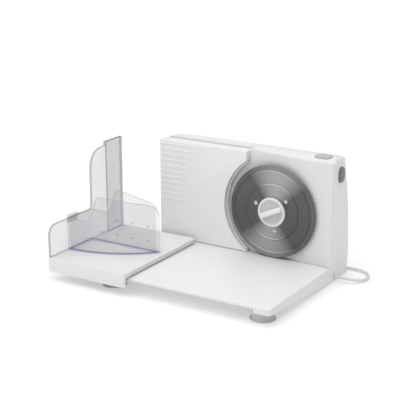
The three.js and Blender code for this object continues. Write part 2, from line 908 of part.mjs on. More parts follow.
const knobDish = prismY(
  circle(0, 0, lockKnobRadius - lockDishRim),
  knobFront - 1,
  knobFront + lockDishDepth,
);
const lockKnobSolid = cut(join(cut(knobDome, knobDish), gripBar), knobBore);
addPiece(lockKnob, 'lock_knob', lockKnobSolid, 'whitePlastic');

// Fixed axle of the blade
addPiece(
  machine,
  'blade_axle',
  prismY(roundPin(hubX, hubZ, axleRadius, boltSteps), bladePlane + axleTip, cupBack + wall),
  'brightSteel',
);

// Drive gear: pinion, shaft and worm wheel moulded in one, on a fixed pin
const drive = new THREE.Group();
drive.position.set(pinionX, 0, pinionZ);
machine.add(drive);
const wormLead = Math.PI * toothModule * wormStarts;
const wheelFront = wheelY - wheelWidth / 2;
const wheelBack = wheelY + wheelWidth / 2;
const wheelTwist = (wheelWidth * wormLead) / (2 * Math.PI * wormRadius * wheelPitchRadius);
const wheelPhase = Math.PI / wheelTeeth - wheelTwist / 2;
const wheelGeometry = extrusion(gearOutline(wheelTeeth, wheelPhase), wheelWidth);
const wormWheel = solidOf(
  twisted(wheelGeometry, wheelWidth, wheelTwist).rotateX(Math.PI / 2).translate(0, wheelBack, 0),
);
const pinionPrism = prismY(gearOutline(pinionTeeth, pinionBearing + Math.PI), gearFront, gearBack);
const driveShaft = prismY(circle(0, 0, driveShaftRadius), gearBack - 1, wheelFront + 1);
const drivePinBore = prismY(roundPin(0, 0, drivePinRadius + gap, boltSteps), 0, wheelBack + 1);
addPiece(
  drive,
  'drive_gear',
  cut(join(wormWheel, pinionPrism, driveShaft), drivePinBore),
  'gearPlastic',
);

// Fixed pin of the drive gear and the bridge that carries its far end
const wheelTip = wheelPitchRadius + toothAddendum * toothModule;
const bridgeFront = wheelBack + 1;
const bridgeBack = bridgeFront + bridgeThickness;
addPiece(
  machine,
  'drive_pin',
  prismY(roundPin(pinionX, pinionZ, drivePinRadius, boltSteps), gearFront + 1, bridgeBack),
  'brightSteel',
);

const postReach = wheelTip + bridgePostRadius + bridgePostClear;
const postPlace = (degrees) => {
  const bearing = THREE.MathUtils.degToRad(degrees);
  return [pinionX + postReach * Math.cos(bearing), pinionZ + postReach * Math.sin(bearing)];
};
const [upperPost, lowerPost] = [postPlace(162), postPlace(250)];
const bridgeEar = bridgePostRadius + wall;
const bridgePlate = join(
  prismY(roundPin(pinionX, pinionZ, bridgeEar, boltSteps), bridgeFront, bridgeBack),
  prismY(roundPin(...upperPost, bridgeEar, boltSteps), bridgeFront, bridgeBack),
  prismY(roundPin(...lowerPost, bridgeEar, boltSteps), bridgeFront, bridgeBack),
  prismY(outline([[pinionX, pinionZ], upperPost, lowerPost]), bridgeFront, bridgeBack),
);
const upperPostFront = faceY(upperPost[0] - bridgePostRadius) + wall + gap;
const bridgePosts = [
  prismY(roundPin(...upperPost, bridgePostRadius, boltSteps), upperPostFront, bridgeBack),
  prismY(roundPin(...lowerPost, bridgePostRadius, boltSteps), cupBack + gap, bridgeBack),
];
const pinHole = prismY(
  roundPin(pinionX, pinionZ, drivePinRadius + gap, boltSteps),
  bridgeFront - 1,
  bridgeBack + 1,
);
addPiece(machine, 'gear_bridge', cut(join(bridgePlate, ...bridgePosts), pinHole), 'innerPlastic');

// Motor: upright shaft with a two-start worm, can, fan and stand
const motor = new THREE.Group();
motor.position.set(motorX, wheelY, 0);
machine.add(motor);

function wormOutline(phase) {
  const tip = wormRadius + toothAddendum * toothModule;
  const root = wormRadius - toothDedendum * toothModule;
  const slope = Math.tan(THREE.MathUtils.degToRad(20));
  const halfAtPitch = (Math.PI * toothModule * 0.5 - toothBacklash) / 2;
  const halfAngle = (radius) => {
    return ((halfAtPitch - (radius - wormRadius) * slope) * 2 * Math.PI) / wormLead;
  };
  const points = [];
  for (let start = 0; start < wormStarts; start += 1) {
    const middle = phase + (2 * Math.PI * start) / wormStarts;
    const flank = [root, wormRadius, tip];
    const rising = flank.map((radius) => [radius, middle - halfAngle(radius)]);
    const falling = [...flank].reverse().map((radius) => [radius, middle + halfAngle(radius)]);
    const valley = [root, middle + Math.PI / wormStarts];
    for (const [radius, angle] of [...rising, [tip, middle], ...falling, valley]) {
      points.push([radius * Math.cos(angle), radius * Math.sin(angle)]);
    }
  }
  return outline(points);
}

const wormTurn = (2 * Math.PI * wormLength) / wormLead;
const wormSteps = Math.ceil(wormTurn / THREE.MathUtils.degToRad(24));
const wormGeometry = extrusion(wormOutline(-wormTurn / 2), wormLength, wormSteps);
const worm = solidOf(
  twisted(wormGeometry, wormLength, wormTurn).translate(0, 0, pinionZ - wormLength / 2),
);
const fanBottom = 10;
const shaftRod = prismZ(
  roundPin(0, 0, motorShaftRadius, boltSteps),
  fanBottom - 2,
  pinionZ + wormLength / 2 + wall,
);
addPiece(motor, 'motor_shaft', join(worm, shaftRod), 'brightSteel');

const canProfile = [
  [motorShaftRadius + gap, motorBottom],
  [motorRadius - 2, motorBottom],
  [motorRadius, motorBottom + 2],
  [motorRadius, motorTop - 2],
  [motorRadius - 2, motorTop],
  [motorShaftRadius * 3, motorTop],
  [motorShaftRadius * 3, motorTop + wall],
  [motorShaftRadius + gap, motorTop + wall],
  [motorShaftRadius + gap, motorBottom],
];
addPiece(motor, 'motor_can', turnedZ(canProfile, 0, 0, 2 * boltSteps), 'motorPaint');

const fanHubRadius = 2.5 * motorShaftRadius;
const fanVanes = [];
for (let i = 0; i < motorFanBlades; i += 1) {
  const turn = (2 * Math.PI * i) / motorFanBlades;
  const vane = new THREE.BoxGeometry(motorFanRadius - fanHubRadius + 1, 1.6, motorFanHeight);
  vane.translate((motorFanRadius + fanHubRadius - 1) / 2, 0, fanBottom + motorFanHeight / 2);
  fanVanes.push(solidOf(vane.rotateZ(turn)));
}
const fanHub = prismZ(circle(0, 0, fanHubRadius), fanBottom, fanBottom + motorFanHeight);
const fanDisc = prismZ(circle(0, 0, motorFanRadius), fanBottom, fanBottom + 1.6);
const fanBore = prismZ(roundPin(0, 0, motorShaftRadius + gap, boltSteps), 0, motorBottom);
addPiece(motor, 'motor_fan', cut(join(fanHub, fanDisc, ...fanVanes), fanBore), 'blackPlastic');

const standHalf = motorRadius + wall;
const standTop = motorBottom - gap;
const standBlock = box(-standHalf, standHalf, -standHalf, standHalf, gap, standTop);
const standTunnel = box(
  -standHalf + standSkin,
  standHalf - standSkin,
  -standHalf - 1,
  standHalf + 1,
  0,
  standTop - standSkin,
);
const standHole = prismZ(circle(0, 0, 2 * motorShaftRadius), 0, motorBottom);
addPiece(motor, 'motor_stand', cut(standBlock, standTunnel, standHole), 'innerPlastic');

// Thickness plate: a ribbed tray
const gaugeBack = tableDepth + wall;
const gaugeTray = cut(
  prismY(gaugeOutline(0), tableDepth, tableDepth + gaugeDepth, arcSteps),
  prismY(gaugeOutline(wall), gaugeBack, tableDepth + gaugeDepth + 1, arcSteps),
);
const gaugeRibs = [];
for (let i = 0; i < ribCount; i += 1) {
  const z = ribLowest + i * ribPitch;
  const right = hubX - Math.sqrt(ribArc ** 2 - (z - hubZ) ** 2);
  const left = gaugeLeft + wall;
  const rib = outline([
    [left, z - ribWidth / 2],
    [right - ribWidth / 2, z - ribWidth / 2],
    [right, z],
    [right - ribWidth / 2, z + ribWidth / 2],
    [left, z + ribWidth / 2],
  ]);
  gaugeRibs.push(prismY(rib, tableDepth - ribHeight, tableDepth + 1));
}
addPiece(machine, 'gauge_plate', join(gaugeTray, ...gaugeRibs), 'whitePlastic');

const slideFront = gaugeBack + gap;
const slideBack = slideFront + gaugeSlideReach;
const slideBlock = box(
  gaugeKnobX - gaugeSlideWidth / 2,
  gaugeKnobX + gaugeSlideWidth / 2,
  slideFront,
  slideBack,
  gaugeKnobZ - gaugeSlideHeight / 2,
  gaugeKnobZ + gaugeSlideHeight / 2,
);
const spindleFront = bayFrontY - wall;
const slideBore = prismY(
  roundPin(gaugeKnobX, gaugeKnobZ, spindleRadius + gap, boltSteps),
  spindleFront - beyond - wall,
  slideBack + 1,
);
addPiece(machine, 'gauge_bracket', cut(slideBlock, slideBore), 'innerPlastic');

const dialFront = knobSeatY + gap;
const dialBack = dialFront + gaugeDialDepth;
const spindleBack = dialBack + gaugeKnobDepth / 2;
addPiece(
  machine,
  'thickness_spindle',
  prismY(roundPin(gaugeKnobX, gaugeKnobZ, spindleRadius, boltSteps), spindleFront, spindleBack),
  'brightSteel',
);

const lobeSteps = 4;
const knobPoints = [];
for (let i = 0; i < gaugeKnobLobes * lobeSteps; i += 1) {
  const angle = (2 * Math.PI * i) / (gaugeKnobLobes * lobeSteps);
  const radius = gaugeKnobRadius - 0.6 + 0.6 * Math.cos(gaugeKnobLobes * angle);
  knobPoints.push([gaugeKnobX + radius * Math.cos(angle), gaugeKnobZ + radius * Math.sin(angle)]);
}
const knobGrip = prismY(outline(knobPoints), dialBack - 1, knobRearY);
const knobDial = prismY(circle(gaugeKnobX, gaugeKnobZ, gaugeDialRadius), dialFront, dialBack);
const knobSocket = prismY(
  roundPin(gaugeKnobX, gaugeKnobZ, spindleRadius + gap, boltSteps),
  dialFront - 1,
  spindleBack + gap,
);
addPiece(machine, 'thickness_knob', cut(join(knobGrip, knobDial), knobSocket), 'whitePlastic');

// Food carriage: a shallow tray with a hooked front lip, a clear wall and two low-friction runners
const carriage = new THREE.Group();
carriage.position.set(carriageLeft, carriageFront, 0);
machine.add(carriage);

const carriagePlan = roundedRect(0, carriageWidth, 0, carriageDepth, carriageCorner);
const skirtBottom = carriageTop - carriageThickness;
const lipBottom = carriageTop - carriageLip;
const carriageBlock = prismZ(carriagePlan, skirtBottom, carriageTop);
const carriageHollow = box(
  wall,
  carriageWidth - wall,
  wall,
  carriageDepth - wall,
  skirtBottom - 1,
  carriageTop - carriageSkin,
);
const lip = prismZ(carriagePlan, lipBottom, carriageTop).intersect(
  box(-1, carriageWidth + 1, -1, wall, lipBottom, carriageTop),
);
const tongueTop = -baseSkin - tongueThickness + slideClear;
const tongue = box(
  tongueStart,
  tongueStart + tongueLength,
  wall - 1,
  wall + tongueReach,
  tongueTop - tongueThickness,
  tongueTop,
);
const seatBottom = carriageTop - wallSeat;
const wallFront = carriageCorner;
const wallBack = carriageDepth - wall;
const wallRebate = box(-1, wallThickness + gap, wallFront - gap, wallBack + gap, seatBottom, carriageTop + 1);
addPiece(
  carriage,
  'carriage_plate',
  cut(join(cut(carriageBlock, carriageHollow), lip, tongue), wallRebate),
  'whitePlastic',
);

const wallBottom = seatBottom + gap;
const lowTop = carriageTop + wallLow;
const tallTop = carriageTop + wallTall;
const tabTop = carriageTop + wallTab;
const tallFront = wallFront + wallRise + wallInnerRound;
const tabFront = wallBack - wallTabLength;
const wallShape = new THREE.Shape();
wallShape.moveTo(wallFront, wallBottom);
wallShape.lineTo(wallBack, wallBottom);
wallShape.lineTo(wallBack, tabTop);
wallShape.lineTo(tabFront, tabTop);
wallShape.lineTo(tabFront, tallTop);
wallShape.lineTo(tallFront + wallTallRound, tallTop);
wallShape.quadraticCurveTo(tallFront, tallTop, tallFront, tallTop - wallTallRound);
wallShape.lineTo(tallFront, lowTop + wallInnerRound);
wallShape.quadraticCurveTo(tallFront, lowTop, tallFront - wallInnerRound, lowTop);
wallShape.lineTo(wallFront + wallFrontRound, lowTop);
wallShape.quadraticCurveTo(wallFront, lowTop, wallFront, lowTop - wallFrontRound);
const wallSheet = prismX(wallShape, 0, wallThickness);
const wallStrip = box(0, wallTabThickness, tabFront, wallBack, carriageTop + gap, tabTop);
addPiece(carriage, 'carriage_wall', join(wallSheet, wallStrip), 'clearPlastic');

const glideTop = carriageTop - carriageSkin - gap;
const glidePlaces = {
  carriage_glide_front: glideInset,
  carriage_glide_rear: carriageDepth - glideInset,
};
for (const [name, y] of Object.entries(glidePlaces)) {
  const runner = box(
    2 * wall,
    carriageWidth - 2 * wall,
    y - glideWidth / 2,
    y + glideWidth / 2,
    gap,
    glideTop,
  );
  addPiece(carriage, name, runner, 'innerPlastic');
}

// Food pusher: a clear hollow block with one curved wall, hooked over the carriage wall
const pusher = new THREE.Group();
pusher.position.set(wallThickness + slideClear, pusherSeat, carriageTop + pusherLift);
carriage.add(pusher);

const pusherArc = pusherWidth / Math.sin(pusherSweep);
const pusherDepth = pusherArc * (1 - Math.cos(pusherSweep)) + pusherWall;

function pusherPlan(inset) {
  const radius = pusherArc - inset;
  const far = pusherDepth - inset;
  const sweep = Math.acos((pusherArc - far) / radius);
  const start = Math.asin(inset / radius);
  const shape = new THREE.Shape();
  shape.absarc(0, pusherArc, radius, start - Math.PI / 2, sweep - Math.PI / 2, false);
  shape.lineTo(inset, far);
  return shape;
}

const pusherTop = new THREE.Shape();
pusherTop.moveTo(-1, -1);
pusherTop.lineTo(pusherWidth + beyond, -1);
pusherTop.lineTo(pusherWidth + wall, pusherRight - pusherRound);
pusherTop.quadraticCurveTo(pusherWidth + wall, pusherRight, pusherWidth - pusherRound, pusherRight + wall);
const shoulderEnd = pusherShoulder * 1.7;
pusherTop.lineTo(shoulderEnd, pusherHigh);
const shoulderMiddle = (pusherShoulder + shoulderEnd) / 2;
pusherTop.bezierCurveTo(
  shoulderMiddle,
  pusherHigh + wall,
  shoulderMiddle,
  pusherLow + hookThickness,
  pusherShoulder,
  pusherLow + hookThickness,
);
pusherTop.lineTo(-1, pusherLow + hookThickness);
const pusherTube = cut(
  prismZ(pusherPlan(0), 0, pusherHigh + beyond),
  prismZ(pusherPlan(pusherWall), -1, pusherHigh + 2 * beyond),
).intersect(prismY(pusherTop, -1, pusherDepth + 1));
const hookBottom = wallLow - pusherLift + gap;
const hookTop = hookBottom + hookThickness;
const hookOuter = -wallThickness - 2 * slideClear - hookThickness;
const hookBack = hookInset + hookLength;
const hook = join(
  box(hookOuter, pusherWall, hookInset, hookBack, hookBottom, hookTop),
  box(hookOuter, hookOuter + hookThickness, hookInset, hookBack, hookBottom - hookDrop, hookTop),
);
const studs = [];
for (let column = 0; column < studColumns; column += 1) {
  for (let row = 0; row < studRows; row += 1) {
    const x = ((column + 0.7) * pusherWidth) / (studColumns + 0.4);
    const z = ((row + 0.6) * pusherLow) / studRows;
    const profile = [
      [0, pusherDepth - 1],
      [studRadius, pusherDepth - 1],
      [studRadius, pusherDepth],
      [studRadius / 4, pusherDepth + studHeight],
      [0, pusherDepth + studHeight],
    ];
    studs.push(turnedY(profile, x, z, 8));
  }
}
addPiece(pusher, 'pusher', join(pusherTube, hook, ...studs), 'clearPlastic');

// Mains cord: strain relief, free length on the table, wound coil with a tie, and the plug
const glandStart = baseLength - wall - gap - 2;
const glandEnd = baseLength + glandLength;
const glandProfile = [
  [0, glandStart],
  [glandFlange, glandStart],
  [glandFlange, glandStart + 2],
  [glandRadius, glandStart + 2],
  [glandRadius, baseLength + 1],
];
for (let i = 0; i < glandRings; i += 1) {
  const step = (glandLength - 4) / glandRings;
  const x = baseLength + 1 + i * step;
  const radius = glandRadius - ((glandRadius - glandTip) * (i + 1)) / (glandRings + 1);
  glandProfile.push([radius, x + step * 0.6], [radius - glandRingDepth, x + step * 0.7]);
  glandProfile.push([radius - glandRingDepth, x + step * 0.9], [radius - 0.1, x + step]);
}
glandProfile.push([glandTip, glandEnd], [0, glandEnd]);
addPiece(machine, 'cord_gland', turnedX(glandProfile, cordExitY, cordExitZ, boltSteps), 'cordVinyl');

const cordLow = floorZ + tieThickness + tieClear + cordRadius;
const coilOuter = coilMiddle + (coilTurns * coilPitch) / 2;
const coilInner = coilMiddle - (coilTurns * coilPitch) / 2;
const coilEntryY = coilY - coilOuter;

function tubeAlong(points, sides, steps) {
  const path = new THREE.CatmullRomCurve3(points.map((point) => new THREE.Vector3(...point)));
  const section = roundPin(0, 0, cordRadius, sides);
  return solidOf(new THREE.ExtrudeGeometry(section, { steps, extrudePath: path, bevelEnabled: false }));
}

const cordDrop = cordExitZ - cordLow;
const cordTurn = (coilEntryY - cordExitY) / 2;
const cordBend = baseLength + glandLength + 2 * cordRadius;
const bendPoint = (degrees, share) => {
  const angle = THREE.MathUtils.degToRad(degrees);
  return [
    cordBend + cordTurn * Math.cos(angle),
    cordExitY + cordTurn + cordTurn * Math.sin(angle),
    cordExitZ - cordDrop * share,
  ];
};
const cordRoute = [
  [baseLength + glandLength + gap, cordExitY, cordExitZ],
  bendPoint(-90, 0.005),
  bendPoint(-80, 0.06),
  bendPoint(-69, 0.18),
  bendPoint(-57, 0.36),
  bendPoint(-44, 0.6),
  bendPoint(-30, 0.84),
  bendPoint(-15, 0.98),
  bendPoint(0, 1),
  bendPoint(16, 1),
  bendPoint(32, 1),
  bendPoint(48, 1),
  bendPoint(63, 1),
  bendPoint(77, 1),
  bendPoint(90, 1),
  [cordBend - 0.12 * coilInset, coilEntryY, cordLow],
  [cordBend - 0.3 * coilInset, coilEntryY, cordLow],
  [cordBend - 0.5 * coilInset, coilEntryY, cordLow],
  [cordBend - 0.7 * coilInset, coilEntryY, cordLow],
  [cordBend - 0.9 * coilInset, coilEntryY, cordLow],
  [coilX + 2 * cordRadius + gap, coilEntryY, cordLow],
];
addPiece(machine, 'power_cord', tubeAlong(cordRoute, 8, 72), 'cordVinyl');

// Coil seen from above: clockwise inwards on the lower layer, up in half a turn, outwards on the upper one
const coilPoints = [[coilX + 2 * cordRadius, coilEntryY, cordLow]];
const windSteps = coilTurns * loopSteps;
const climbSteps = loopSteps / 2;
for (let i = 0; i <= 2 * windSteps + climbSteps; i += 1) {
  const climb = Math.min(1, Math.max(0, (i - windSteps) / climbSteps));
  const wound = i <= windSteps ? i : Math.max(0, 2 * windSteps + climbSteps - i);
  const inwards = Math.min(windSteps, wound) / loopSteps;
  const radius = coilOuter - coilPitch * inwards - coilClimbDip * Math.sin(Math.PI * climb);
  const angle = -Math.PI / 2 - (2 * Math.PI * i) / loopSteps;
  const rise = coilPitch * (0.5 - 0.5 * Math.cos(Math.PI * climb));
  coilPoints.push([coilX + radius * Math.cos(angle), coilY + radius * Math.sin(angle), cordLow + rise]);
}
const coilEnd = coilX + coilLeadOut;
const coilExitY = coilY + coilOuter;
const coilHigh = cordLow + coilPitch;
coilPoints.push([coilX + coilLeadOut / 2, coilExitY, coilHigh], [coilEnd, coilExitY, coilHigh]);
addPiece(machine, 'cord_coil', tubeAlong(coilPoints, loopSides, coilPoints.length), 'cordVinyl');

let leastGap = Infinity;
coilPoints.forEach((first, i) => {
  coilPoints.slice(i + loopSteps / 4).forEach((second) => {
    const apart = Math.hypot(...first.map((value, axis) => value - second[axis]));
    leastGap = Math.min(leastGap, apart - 2 * cordRadius);
  });
});
console.log(`least gap between the coil's turns ${leastGap.toFixed(2)} mm`);

const tieNear = coilInner + coilPitch / 4 - cordRadius - 2 * tieClear;
const tieFar = coilOuter - coilPitch / 4 + cordRadius + tieClear;
const tieLow = cordLow - cordRadius - tieClear;
const tieHigh = coilHigh + cordRadius + tieClear;
const tieBand = (grow, reach) => {
  return box(
    coilX - tieFar - grow,
    coilX - tieNear + grow,
    coilY - tieWidth / 2 - reach,
    coilY + tieWidth / 2 + reach,
    tieLow - grow,
    tieHigh + grow,
  );
};
addPiece(machine, 'cord_tie', cut(tieBand(tieThickness, 0), tieBand(0, 1)), 'blackPlastic');

const plugStart = coilEnd + gap;
const plugBack = plugStart + plugNeck;
const plugFront = plugBack + plugLength;
const plugBody = prismX(
  roundedRect(
    coilExitY - plugWidth / 2,
    coilExitY + plugWidth / 2,
    coilHigh - plugHeight / 2,
    coilHigh + plugHeight / 2,
    plugHeight * 0.35,
  ),
  plugBack,
  plugFront,
);
const neckProfile = [
  [0, plugStart],
  [cordRadius + 1, plugStart],
  [plugHeight * 0.42, plugBack + 1],
  [0, plugBack + 1],
];
const plugNeckCone = turnedX(neckProfile, coilExitY, coilHigh, boltSteps);
const pinBase = plugFront - 2 * wall;
const pinSides = { plug_pin_left: 1, plug_pin_right: -1 };
const pinY = (side) => coilExitY + (side * plugPinSpacing) / 2;
const pinHoles = Object.values(pinSides).map((side) => {
  return prismX(roundPin(pinY(side), coilHigh, plugPinRadius + gap, boltSteps), pinBase - gap, plugFront + 1);
});
addPiece(machine, 'plug_body', cut(join(plugBody, plugNeckCone), ...pinHoles), 'cordVinyl');
for (const [name, side] of Object.entries(pinSides)) {
  const tip = plugFront + plugPinLength;
  const profile = [
    [0, pinBase],
    [plugPinRadius, pinBase],
    [plugPinRadius, tip - 1],
    [plugPinRadius - 1, tip],
    [0, tip],
  ];
  addPiece(machine, name, turnedX(profile, pinY(side), coilHigh, boltSteps), 'brassPin');
}

export default slicer;
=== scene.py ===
import json
import math

import bmesh
import bpy
import numpy as np
from mathutils import Matrix, Vector


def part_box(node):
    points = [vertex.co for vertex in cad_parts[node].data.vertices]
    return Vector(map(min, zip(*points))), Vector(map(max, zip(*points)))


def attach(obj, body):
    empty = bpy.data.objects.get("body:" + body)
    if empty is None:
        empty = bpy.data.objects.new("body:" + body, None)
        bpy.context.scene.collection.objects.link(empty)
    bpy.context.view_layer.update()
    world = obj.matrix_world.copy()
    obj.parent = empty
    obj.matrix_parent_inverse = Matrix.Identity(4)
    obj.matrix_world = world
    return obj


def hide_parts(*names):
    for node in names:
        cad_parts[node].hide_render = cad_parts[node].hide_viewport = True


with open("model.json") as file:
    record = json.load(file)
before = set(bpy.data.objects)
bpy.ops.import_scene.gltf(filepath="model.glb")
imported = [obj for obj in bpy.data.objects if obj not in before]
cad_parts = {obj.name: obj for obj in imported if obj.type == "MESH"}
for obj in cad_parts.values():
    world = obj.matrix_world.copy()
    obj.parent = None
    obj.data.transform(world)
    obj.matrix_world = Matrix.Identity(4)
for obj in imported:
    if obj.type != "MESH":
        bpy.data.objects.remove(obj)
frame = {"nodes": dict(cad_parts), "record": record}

scene = bpy.context.scene
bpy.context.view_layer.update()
baseLow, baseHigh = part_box("base_plate")
corner = np.array([baseLow.x, baseLow.y, baseHigh.z])  # front left corner of the base top
millimetre = 0.001
mergeDistance = 1e-6
tau = 2 * math.pi
quarterTurn = math.pi / 2
bladeHub = (241.0, 218.0, 86.5)  # where the blade's axis meets its front


def place(points):  # millimetres from the base corner, as metres in the frame
    return corner + np.asarray(points, float) * millimetre


def measure(point):  # metres in the frame, as millimetres from the base corner
    return (np.array(point) - corner) / millimetre


# camera at the photograph's viewing angle
cameraSettings = {
    "at": (1108.45, -1428.89, 670.37),
    "azimuth": 31.70, "elevation": 16.82, "roll": -0.11,
    "lens": 98.96, "sensor": 36.0, "clip": (0.05, 50.0),
}


def makeCamera(s):
    a, e = math.radians(s["azimuth"]), math.radians(s["elevation"])
    back = Vector((math.sin(a) * math.cos(e), -math.cos(a) * math.cos(e), math.sin(e)))
    level = Vector((math.cos(a), math.sin(a), 0))
    right = Matrix.Rotation(math.radians(s["roll"]), 3, back) @ level
    up = back.cross(right)
    data = bpy.data.cameras.new("camera")
    data.lens, data.sensor_width = s["lens"], s["sensor"]
    data.clip_start, data.clip_end = s["clip"]
    camera = bpy.data.objects.new("camera", data)
    turn = Matrix((right, up, back)).transposed().to_4x4()
    camera.matrix_world = Matrix.Translation(Vector(place(s["at"]))) @ turn
    scene.collection.objects.link(camera)
    scene.camera = camera


makeCamera(cameraSettings)
print("camera ready")


# meshes from arrays
def skin(loops, ring=False, caps=True):
    # quads through a stack of closed loops in millimetres: ring joins the last loop to the first, caps close
    # the two ends
    loops = place(loops)
    rows, columns = loops.shape[:2]
    r, c = np.meshgrid(np.arange(rows if ring else rows - 1), np.arange(columns), indexing="ij")
    r, c = r.ravel(), c.ravel()
    r1, c1 = (r + 1) % rows, (c + 1) % columns
    quads = [r * columns + c, r1 * columns + c, r1 * columns + c1, r * columns + c1]
    faces = np.stack(quads, 1).tolist()
    if caps and not ring:
        faces.append(list(range(columns)))
        faces.append(list(range((rows - 1) * columns, rows * columns)))
    return loops.reshape(-1, 3), faces


def joinPatches(patches):
    # patches hold points, faces and, where a finish needs it, a rim value for each point
    verts, faces, rims, first = [], [], [], 0
    for points, quads, *rim in patches:
        verts.append(points)
        faces += [[i + first for i in q] for q in quads]
        rims.append(rim[0] if rim else np.zeros(len(points)))
        first += len(points)
    return np.concatenate(verts), faces, np.concatenate(rims)


def sharpen(bm, degrees):
    for edge in bm.edges:
        edge.smooth = len(edge.link_faces) == 2 and edge.calc_face_angle(0) < math.radians(degrees)
    for face in bm.faces:
        face.smooth = True


def addObject(name, bm, body, finish, nodes=()):
    mesh = bpy.data.meshes.new(name)
    bm.to_mesh(mesh)
    bm.free()
    piece = bpy.data.objects.new(name, mesh)
    scene.collection.objects.link(piece)
    mesh.materials.append(finish)
    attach(piece, body)
    if nodes:
        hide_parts(*nodes)
    return piece


def addPiece(name, patches, body, finish, nodes=(), sharp=38):
    verts, faces, rim = joinPatches(patches)
    mesh = bpy.data.meshes.new(name + "_draft")
    mesh.from_pydata(verts.tolist(), [], faces)
    mesh.attributes.new("rim", "FLOAT", "POINT").data.foreach_set("value", rim)
    bm = bmesh.new()
    bm.from_mesh(mesh)
    bpy.data.meshes.remove(mesh)
    bmesh.ops.remove_doubles(bm, verts=bm.verts, dist=mergeDistance)
    bmesh.ops.recalc_face_normals(bm, faces=bm.faces)
    sharpen(bm, sharp)
    return addObject(name, bm, body, finish, nodes)


def lathe(profile, centre, axis, steps, wave=None):
    # profile points (radius, height) carried once round an axis through centre; wave adds to radius by angle
    profile = np.asarray(profile, float)
    angle = np.arange(steps) * tau / steps
    radius = profile[:, :1] + (wave(angle) if wave else 0 * angle)
    height = np.repeat(profile[:, 1:], steps, 1)
    c, s = radius * np.cos(angle), radius * np.sin(angle)
    around = {"x": (height, c, s), "y": (c, height, s), "z": (c, s, height)}[axis]
    return np.stack(around, -1) + centre


def roundedLoop(halfA, halfB, radius, count):
    # rounded rectangle through count points, evenly spread along its outline
    straight = np.array([2 * (halfB - radius), 2 * (halfA - radius)] * 2)
    arc = radius * quarterTurn
    lengths = np.stack([straight, np.full(4, arc)], 1).ravel()
    ends = np.concatenate([[0], np.cumsum(lengths)])
    s = np.arange(count) * ends[-1] / count
    part = np.clip(np.searchsorted(ends, s, side="right") - 1, 0, 7)
    t = s - ends[part]
    side, onArc = part // 2, part % 2 == 1
    turn = side * quarterTurn
    signs = np.array([[1, 1], [-1, 1], [-1, -1], [1, -1]])
    middle = signs[side] * np.array([halfA - radius, halfB - radius])
    angle = turn + np.where(onArc, t / radius if radius else 0, 0)
    normal = np.stack([np.cos(angle), np.sin(angle)], 1)
    along = np.stack([-np.sin(turn), np.cos(turn)], 1)
    back = np.where(onArc, 0, t - straight[side])
    return middle + radius * normal + along * back[:, None]


def lifted(flat, height, order):
    # flat points (a, b) at one height h, with the three in the order of the axes
    columns = {"a": flat[:, 0], "b": flat[:, 1], "h": np.full(len(flat), height)}
    return np.stack([columns[k] for k in order], 1)


def bend(start, control, end, count):
    # points of a quadratic curve after its start
    t = np.linspace(0, 1, count + 1)[1:, None]
    return (1 - t) ** 2 * np.array(start) + 2 * t * (1 - t) * np.array(control) + t * t * np.array(end)


# shader arithmetic
class Wire:
    def __init__(self, tree, socket=None):
        self.tree, self.socket = tree, socket

    def node(self, kind, settings=None, inputs=None, out=0):
        made = self.tree.nodes.new(kind)
        for key, value in (settings or {}).items():
            if key == "stops":
                ramp = made.color_ramp
                while len(ramp.elements) < len(value):
                    ramp.elements.new(0.5)
                for element, (spot, colour) in zip(ramp.elements, value):
                    element.position, element.color = spot, (*colour, 1)
            else:
                setattr(made, key, value)
        for key, value in (inputs or {}).items():
            if isinstance(value, Wire):
                self.tree.links.new(value.socket, made.inputs[key])
            else:
                made.inputs[key].default_value = value
        return Wire(self.tree, made.outputs[out]) if made.outputs else Wire(self.tree)

    def math(self, operation, *values, clamp=False):
        settings = {"operation": operation, "use_clamp": clamp}
        return self.node("ShaderNodeMath", settings, dict(enumerate((self, *values))))

    def __add__(self, other):
        return self.math("ADD", other)

    def __sub__(self, other):
        return self.math("SUBTRACT", other)

    def __rsub__(self, other):
        return self * -1.0 + other

    def __mul__(self, other):
        return self.math("MULTIPLY", other)

    def __truediv__(self, other):
        return self.math("DIVIDE", other)

    def __rtruediv__(self, other):
        return self.node("ShaderNodeMath", {"operation": "DIVIDE"}, {0: other, 1: self})

    __radd__ = __add__
    __rmul__ = __mul__


def startFinish(name):
    material = bpy.data.materials.new(name)
    material.use_nodes = True
    material.node_tree.nodes.clear()
    w = Wire(material.node_tree)
    return material, w, objectPoint(w)


def closeFinish(w, constants, links):
    # one principled shader: constants on its own sockets, changing values linked
    shader = w.node("ShaderNodeBsdfPrincipled", {}, {**constants, **links})
    w.node("ShaderNodeOutputMaterial", {}, {"Surface": shader})


def objectPoint(w):
    return w.node("ShaderNodeTexCoord", {}, {}, "Object")


def noise(w, point, scale, detail=2.0, rough=0.5):
    sockets = {"Vector": point, "Scale": scale, "Detail": detail, "Roughness": rough}
    return w.node("ShaderNodeTexNoise", {}, sockets, "Fac")


def vectorMath(w, operation, first, second, out=0):
    return w.node("ShaderNodeVectorMath", {"operation": operation}, {0: first, 1: second}, out)


def blendColours(w, factor, *colours):
    first, second = [c if isinstance(c, Wire) else (*c, 1.0) for c in colours]
    settings = {"data_type": "RGBA", "blend_type": "MIX"}
    return w.node("ShaderNodeMix", settings, {0: factor, 6: first, 7: second}, 2)


def bump(w, height, strength, distance):
    return w.node("ShaderNodeBump", {}, {"Height": height, "Strength": strength, "Distance": distance})


# finishes
plasticGloss = {"IOR": 1.5, "Specular IOR Level": 0.45}
grainDepth = 0.0002
hub = place(bladeHub)


